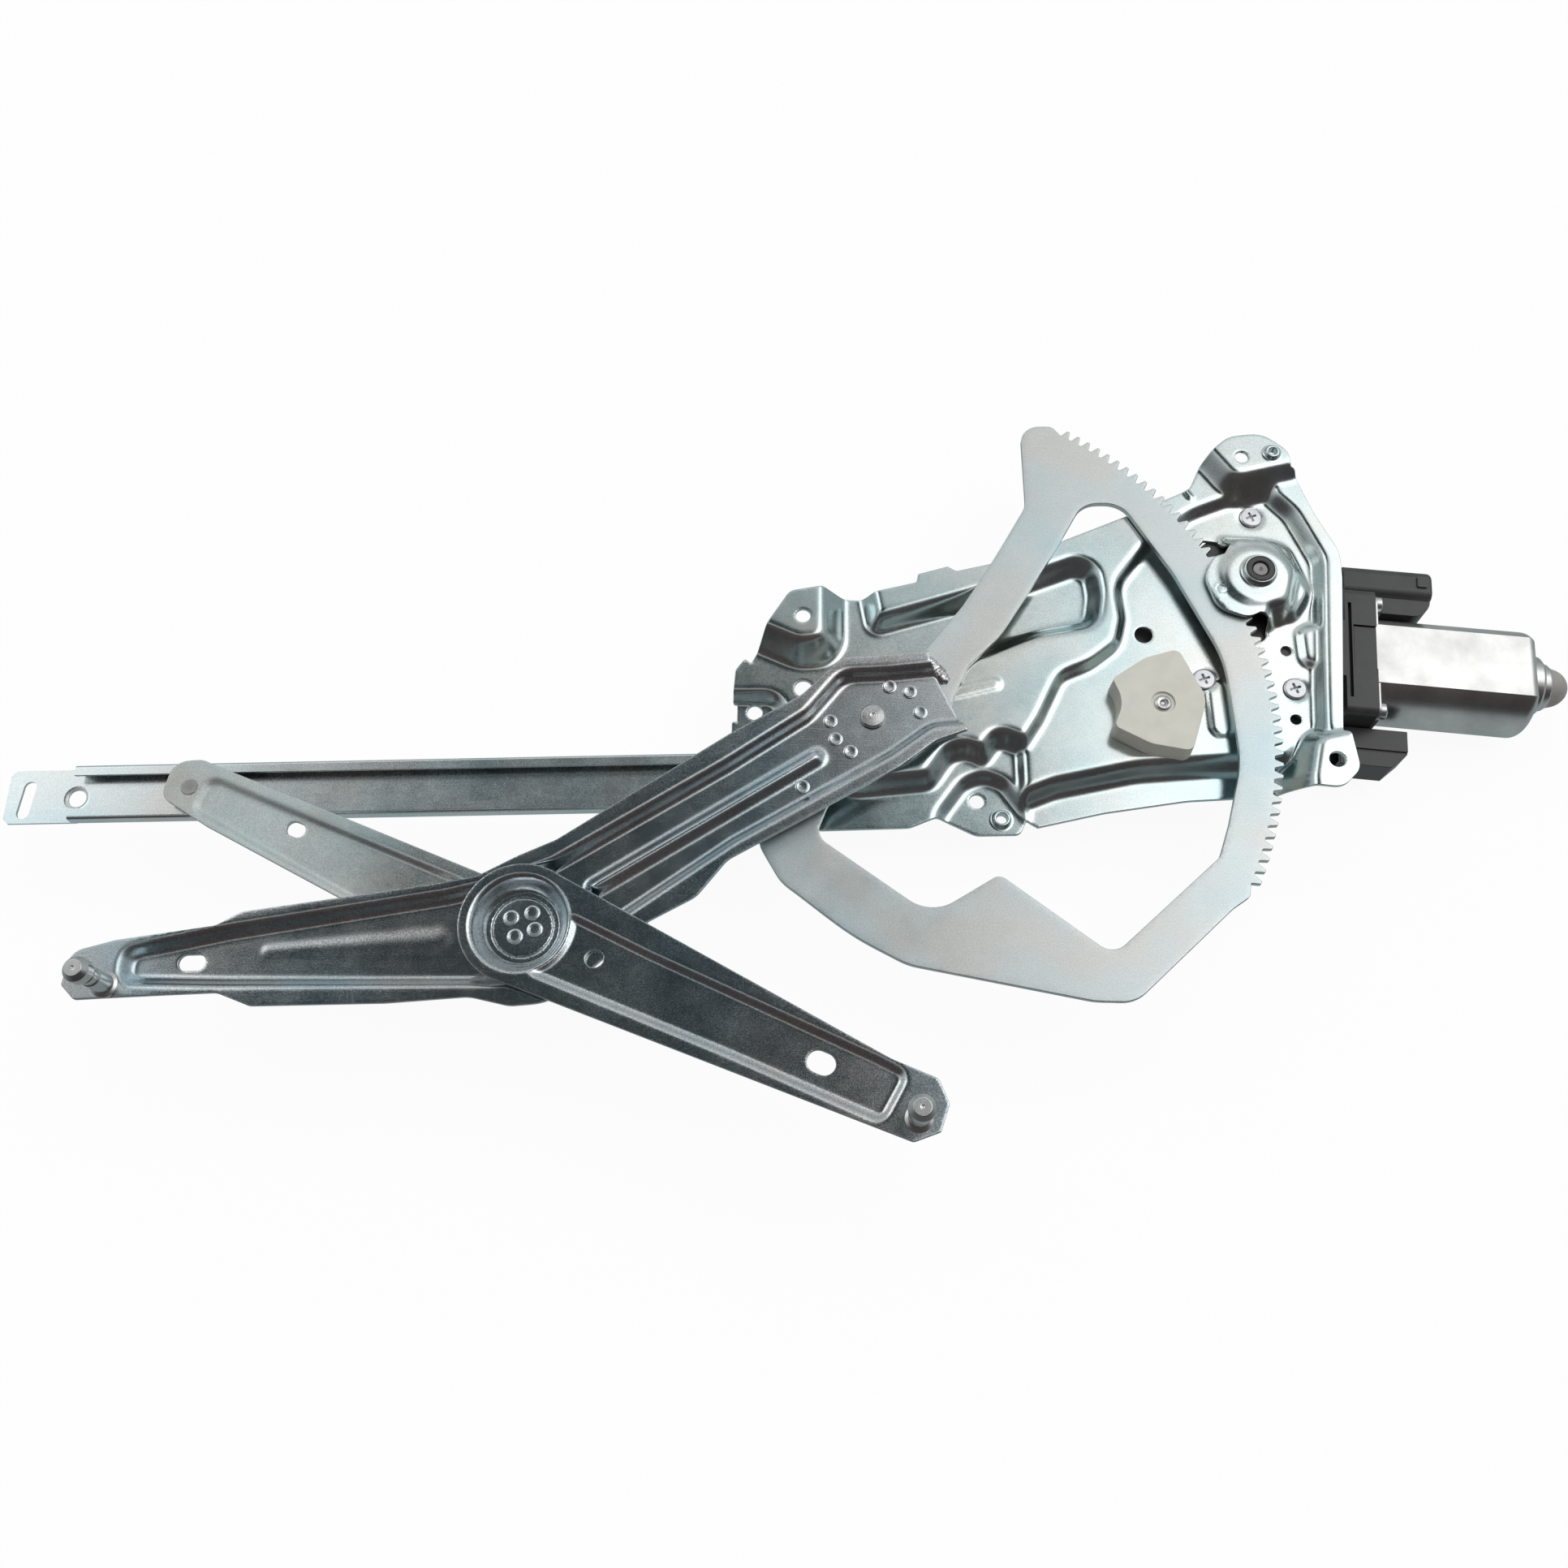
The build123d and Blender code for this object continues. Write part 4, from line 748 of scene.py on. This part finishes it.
def pressedSheet(node, thick, step, bend, edge=0.3, collars=(), beads=(), rings=(), finish=None):
    clear = [(x, y, outer + pressing["collarClear"]) for x, y, inner, outer, level, top in collars]
    heightAt = sheetHeights(node, bend, clear)
    loops = sheetRims(node, step, collars, clear)
    insets = [loop + edge * inwardOf(loop) for loop in loops]
    plan, faces, homes = sheetPlan(node, step, insets, rings)
    top = heightAt(plan) + beadHeights(plan, beads) + ringHeights(plan, rings)
    count = len(plan)
    places = [np.column_stack([plan, top]), np.column_stack([plan, top - thick])]
    skin = [tuple(f) if areaOf(plan[list(f)]) > 0 else tuple(reversed(f)) for f in faces]
    skin += [tuple(count + v for v in reversed(f)) for f in skin]
    base, start = 2 * count, 0
    for loop, inset in zip(loops, insets):
        n = len(loop)
        rimTop = heightAt(inset) + beadHeights(inset, beads)
        places += [np.column_stack([p, z]) for p, z in rimBands(loop, inset, rimTop, thick, edge)]
        upperRow = [homes[start + k] for k in range(n)]
        rows = [upperRow] + [list(range(base + b * n, base + (b + 1) * n)) for b in range(4)]
        rows.append([count + h for h in upperRow])
        for upper, lower in zip(rows, rows[1:]):
            skin += [(upper[k], lower[k], lower[(k + 1) % n], upper[(k + 1) % n]) for k in range(n)]
        base += 4 * n
        start += n
    mesh = bpy.data.meshes.new(node + "Sheet")
    mesh.from_pydata((np.concatenate(places) * mm).tolist(), [], skin)
    solid = bmesh.new()
    solid.from_mesh(mesh)
    bmesh.ops.delete(solid, geom=[v for v in solid.verts if not v.link_faces], context="VERTS")
    for collar in collars:
        addCollar(solid, thick, *collar)
    bmesh.ops.recalc_face_normals(solid, faces=solid.faces)
    solid.to_mesh(mesh)
    solid.free()
    print("pressed", node, "loops", len(loops), "faces", len(mesh.polygons))
    evenShading(addPiece(node + "Pressed", mesh, node, pressing["smoothAngle"], finish))


# thickness, point step, softness of the bends and rolled edge of each sheet
# a collar is (x, y, inner radius, outer radius, level of the sheet, top)
sheets = {
    "base_plate": dict(
        thick=2.0, step=1.2, bend=1.2, edge=0.3,
        collars=[(219.12, 20.55, 6.72, 7.6, 3.8, 7.0), (232.5, 87.5, 2.1, 3.4, 4.4, 6.8),
                 (93.1, -98.5, 2.6, 3.9, -18.6, -16.2)],
        beads=[((70.5, -39.8), (90.8, -34.6), 4.4, 4.4, 0.7, 1.6),  # rib that the sector passes over
               ((197.0, -36.5), (197.2, -55.0), 6.4, 6.4, 1.1, 2.4),
               ((189.2, 74.4), (192.8, 68.4), 2.2, 2.2, 1.0, 1.0)]),
    "lift_arm": dict(thick=2.0, step=1.2, bend=1.1, edge=0.3,
                     beads=[((-236.0, -168.4), (-160.0, -163.6), 4.0, 9.0, 0.8, 1.0)]),
    "idler_arm_front": dict(thick=2.0, step=1.1, bend=0.95, edge=0.3,
                            rings=[(-122.7, -157.7, 13.6, 0.45, 0.35), (-122.7, -157.7, 16.4, 0.4, 0.2)]),
    "idler_arm_rear": dict(thick=2.0, step=1.2, bend=0.9, edge=0.3, finish=zincSheet("zincRear")),
    "sector_gear": dict(thick=3.0, step=3.0, bend=0.0, edge=0.35),
}
for node, settings in sheets.items():
    pressedSheet(node, **settings)

# the weld between lift arm and sector: one lumpy run, laid in ripples
weldRun = dict(path=[(59.2, -25.6), (61.0, -28.0), (63.4, -31.0), (66.2, -33.4), (69.4, -35.2)],
               radii=[1.9, 3.3, 3.8, 3.5, 1.7], heights=[3.2, 1.6, 0.2, -0.6, -1.0],
               ripples=5, rippleSize=0.05, flatness=0.72, lumps=((0.55, 0.55), (0.14, 1.7)),
               steps=56, turns=20, smoothAngle=60)


def weldBead(node):
    path = [Vector((x, y, z)) for (x, y), z in zip(weldRun["path"], weldRun["heights"])]
    radii, steps, turns = weldRun["radii"], weldRun["steps"], weldRun["turns"]
    (broad, broadScale), (small, smallScale) = weldRun["lumps"]
    upright = Vector((0, 0, weldRun["flatness"]))
    solid, rings = bmesh.new(), []
    for k in range(steps + 1):
        t = k / steps * (len(path) - 1)
        i = min(int(t), len(path) - 2)
        share = t - i
        centre = path[i].lerp(path[i + 1], share)
        ahead = (path[i + 1] - path[i]).normalized()
        side = Vector((ahead.y, -ahead.x, 0)).normalized()
        radius = radii[i] * (1 - share) + radii[i + 1] * share
        radius *= 1 + weldRun["rippleSize"] * math.sin(fullTurn * weldRun["ripples"] * k / steps)
        ring = []
        for j in range(turns):
            turn = fullTurn * j / turns
            away = side * math.cos(turn) + upright * math.sin(turn)
            point = centre + away * radius
            lump = broad * noise.noise(point * broadScale) + small * noise.noise(point * smallScale)
            point += away * lump
            ring.append(solid.verts.new(point * mm))
        rings.append(ring)
    for here, after in zip(rings, rings[1:]):
        for j in range(turns):
            n = (j + 1) % turns
            solid.faces.new((here[j], here[n], after[n], after[j]))
    solid.faces.new(list(reversed(rings[0])))
    solid.faces.new(rings[-1])
    bmesh.ops.recalc_face_normals(solid, faces=solid.faces)
    addPiece(node + "Run", meshFrom(solid, node + "Run"), node, weldRun["smoothAngle"], weldSteel())


# dark lug of the gearbox housing, behind the pan's lower locating hole; ends are (x, y, radius)
housingWeb = dict(near=(229.5, -54.5, 7.4), far=(246.0, -40.0, 9.0), top=-15.2, deep=7.0, steps=24,
                  brokenEdge=0.6)


def addHousingWeb():
    (ax, ay, ra), (bx, by, rb) = housingWeb["near"], housingWeb["far"]
    top, steps = housingWeb["top"], housingWeb["steps"]
    along = math.atan2(by - ay, bx - ax)
    lean = math.asin((ra - rb) / math.hypot(bx - ax, by - ay))
    rim = []
    for k in range(steps + 1):
        turn = along + math.pi / 2 - lean + (math.pi + 2 * lean) * k / steps
        rim.append((ax + ra * math.cos(turn), ay + ra * math.sin(turn)))
    for k in range(steps + 1):
        turn = along - math.pi / 2 + lean + (math.pi - 2 * lean) * k / steps
        rim.append((bx + rb * math.cos(turn), by + rb * math.sin(turn)))
    solid = bmesh.new()
    upper = [solid.verts.new((x * mm, y * mm, top * mm)) for x, y in rim]
    lower = [solid.verts.new((x * mm, y * mm, (top - housingWeb["deep"]) * mm)) for x, y in rim]
    solid.faces.new(upper)
    solid.faces.new(list(reversed(lower)))
    for k in range(len(rim)):
        n = (k + 1) % len(rim)
        solid.faces.new((upper[k], lower[k], lower[n], upper[n]))
    bmesh.ops.recalc_face_normals(solid, faces=solid.faces)
    web = addPiece("housingWeb", meshFrom(solid, "housingWeb"), "gearbox_housing", stands=False)
    addBevel(web, "brokenEdges", housingWeb["brokenEdge"], 2)


weldBead("weld_bead")
addHousingWeb()
print("weld and housing web ready")

# all other nodes: the part's own shape with its edges broken, widths in mm and angles in degrees
brokenEdge = dict(width=0.25, rivetWidth=0.09, segments=2, angle=28, flatAngle=1.0)
drawnCorner = dict(nodes=("motor_can",), width=2.6, segments=5, angle=25, leastArea=50)  # on large faces
finishFor = {
    "guide_rail": zincSheet("zincRail"),
    "clinch_rivets": finishOf["zinc_arm"], "hub_rivets": finishOf["zinc_arm"],
    "end_bearing": finishOf["can_steel"],
    "pivot_stud": turnedSteel("pivotSteel"), "rail_pin": turnedSteel("pinSteel"),
}


def markCorners(solid):  # weights for the edges between large faces
    weight = solid.edges.layers.float.new("bevel_weight_edge")
    for edge in solid.edges:
        if len(edge.link_faces) == 2 and edge.calc_face_angle(0) > math.radians(drawnCorner["angle"]):
            if min(face.calc_area() for face in edge.link_faces) > drawnCorner["leastArea"] * mm * mm:
                edge[weight] = 1.0


def softened(node):  # a copy of the node with its edges broken, and round corners where it is drawn
    drawn = node in drawnCorner["nodes"]
    solid = nodeSolid(node)
    flat = math.radians(brokenEdge["flatAngle"])
    bmesh.ops.dissolve_limit(solid, angle_limit=flat, verts=solid.verts, edges=solid.edges)
    if drawn:
        markCorners(solid)
    piece = addPiece(node + "Piece", meshFrom(solid, node + "Shape"), node, finish=finishFor.get(node))
    if drawn:
        addBevel(piece, "drawnCorners", drawnCorner["width"], drawnCorner["segments"]).limit_method = "WEIGHT"
    width = brokenEdge["rivetWidth"] if node.endswith("_rivets") else brokenEdge["width"]
    bevel = addBevel(piece, "brokenEdges", width, brokenEdge["segments"])
    bevel.limit_method = "ANGLE"
    bevel.angle_limit = math.radians(brokenEdge["angle"])
    bevel.harden_normals = True
    evenShading(piece)


for node in nodes:
    if node not in sheets and node != "weld_bead":
        softened(node)
print("pieces ready")

# studio: what the camera looks at, its distance in mm, and its tilt and swing in degrees
camera = dict(focus=(-7.98, -87.51, -1.0), distance=662.3, tilt=22.071, swing=-2.0,
              lens=33.0, sensor=36, farEnd=20)
floorPaper = dict(size=3.0, drop=0.4, paper=0.9, rough=0.9, glow=0.94, mirrored=(0.07, 0.38),
                  mirroredReach=(-0.55, -0.15), mirroredTint=(0.86, 0.98, 1.0))
overhead = dict(tilt=(-0.25, 0.25), spread=1.2, strength=1.1)
room = dict(
    dome=[(0.0, (0.31, 0.37, 0.38)), (0.35, (0.54, 0.57, 0.58)), (0.8, (0.72, 0.73, 0.73)),
          (0.9, (0.84, 0.85, 0.85))],
    nearSide=[(-0.42, (0.12, 0.10, 0.10)), (0.02, (1, 1, 1))],
    darkBox=dict(way=(-0.20, 0.20, 0.96), reach=(0.905, 0.968), tint=(0.027, 0.040, 0.045)),
    eastBox=dict(way=(0.52, 0.22, 0.83), reach=(0.89, 0.955), gain=1.05),
    westBox=dict(way=(-0.60, 0.42, 0.68), reach=(0.958, 0.972), tint=(1.5, 1.53, 1.53)),
)


def placeCamera():
    tilt, swing = math.radians(camera["tilt"]), math.radians(camera["swing"])
    outward = Vector((-math.sin(swing), -math.sin(tilt) * math.cos(swing), math.cos(tilt) * math.cos(swing)))
    upward = Vector((0, math.cos(tilt), math.sin(tilt)))
    turn = Matrix((upward.cross(outward), upward, outward)).transposed()
    lens = bpy.data.cameras.new("viewCamera")
    lens.lens = camera["lens"]
    lens.sensor_width = camera["sensor"]
    lens.clip_end = camera["farEnd"]
    holder = linked("viewCamera", lens)
    place = (Vector(camera["focus"]) + outward * camera["distance"]) * mm
    holder.matrix_world = Matrix.Translation(place) @ turn.to_4x4()
    bpy.context.scene.camera = holder


def whiteFloor():  # white paper with a shadow; the metal mirrors it dim, and darkest on the near side
    size, level = floorPaper["size"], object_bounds()[0].z - floorPaper["drop"] * mm
    mesh = bpy.data.meshes.new("floor")
    corners = [(-size, -size, level), (size, -size, level), (size, size, level), (-size, size, level)]
    mesh.from_pydata(corners, [], [(0, 1, 2, 3)])
    floor = linked("floor", mesh)
    material, tree, shader = newMaterial("floorPaper", roughness=floorPaper["rough"])
    shader.inputs["Base Color"].default_value = (floorPaper["paper"],) * 3 + (1,)
    ray = addNode(tree, "ShaderNodeLightPath")
    onCamera, onGlossy = ray.outputs["Is Camera Ray"], ray.outputs["Is Glossy Ray"]
    where = addNode(tree, "ShaderNodeTexCoord")
    parts = addNode(tree, "ShaderNodeSeparateXYZ", [(where.outputs["Object"], "Vector")])
    mirrored = spread(tree, parts.outputs["Y"], *floorPaper["mirrored"], *floorPaper["mirroredReach"])
    strength = combined(tree, "MAXIMUM", onCamera, mirrored)
    glow = addNode(tree, "ShaderNodeEmission", [(strength, "Strength")])
    tree.links.new(blendTints(tree, onCamera, floorPaper["mirroredTint"], (1, 1, 1)), glow.inputs["Color"])
    share = combined(tree, "MULTIPLY", combined(tree, "MAXIMUM", onCamera, onGlossy), floorPaper["glow"])
    mix = addNode(tree, "ShaderNodeMixShader", [(share, "Fac"), (shader.outputs[0], 1), (glow.outputs[0], 2)])
    tree.links.new(mix.outputs[0], tree.nodes["Material Output"].inputs["Surface"])
    mesh.materials.append(material)


def toward(tree, box):  # 1 where the room is seen along a box's direction, 0 well beside it
    seen = addNode(tree, "ShaderNodeTexCoord")
    dot = addNode(tree, "ShaderNodeVectorMath", [(seen.outputs["Generated"], 0)], operation="DOT_PRODUCT")
    dot.inputs[1].default_value = Vector(box["way"]).normalized()
    return spread(tree, dot.outputs["Value"], 0.0, 1.0, *box["reach"], soft=True)


def roomLight():  # a pale dome with two bright boxes and a dark one, for the metal to mirror
    world = bpy.data.worlds.new("room")
    bpy.context.scene.world = world
    world.use_nodes = True
    tree = world.node_tree
    back = tree.nodes["Background"]
    seen = addNode(tree, "ShaderNodeTexCoord")
    parts = addNode(tree, "ShaderNodeSeparateXYZ", [(seen.outputs["Generated"], "Vector")])
    sky = rampOf(tree, parts.outputs["Z"], room["dome"])
    east, west, dark = room["eastBox"], room["westBox"], room["darkBox"]
    sky = blendTints(tree, toward(tree, east), sky, (east["gain"],) * 3, "ADD")
    (nearEnd, nearTint), (farEnd, farTint) = room["nearSide"]
    across = spread(tree, parts.outputs["Y"], 0, 1, nearEnd, farEnd)
    side = rampOf(tree, across, [(0.0, nearTint), (1.0, farTint)])
    sky = blendTints(tree, 1.0, sky, side, "MULTIPLY")
    sky = blendTints(tree, toward(tree, dark), sky, dark["tint"])
    sky = blendTints(tree, toward(tree, west), sky, west["tint"])
    tree.links.new(sky, back.inputs["Color"])
    ray = addNode(tree, "ShaderNodeLightPath")
    white = addNode(tree, "ShaderNodeBackground", Strength=1.0)
    white.inputs["Color"].default_value = (1, 1, 1, 1)
    mix = addNode(tree, "ShaderNodeMixShader", [(ray.outputs["Is Camera Ray"], "Fac"), (back.outputs[0], 1),
                                                (white.outputs[0], 2)])
    tree.links.new(mix.outputs[0], tree.nodes["World Output"].inputs["Surface"])


def overheadLamp():  # fills the matt pieces; the metal mirrors the room alone
    lamp = bpy.data.lights.new("overheadFill", "SUN")
    lamp.energy = overhead["strength"]
    lamp.angle = overhead["spread"]
    holder = linked("overheadFill", lamp)
    holder.rotation_euler = (*overhead["tilt"], 0)
    holder.visible_glossy = False


placeCamera()
whiteFloor()
roomLight()
overheadLamp()
bpy.context.scene.view_settings.view_transform = "Standard"
print("studio ready")
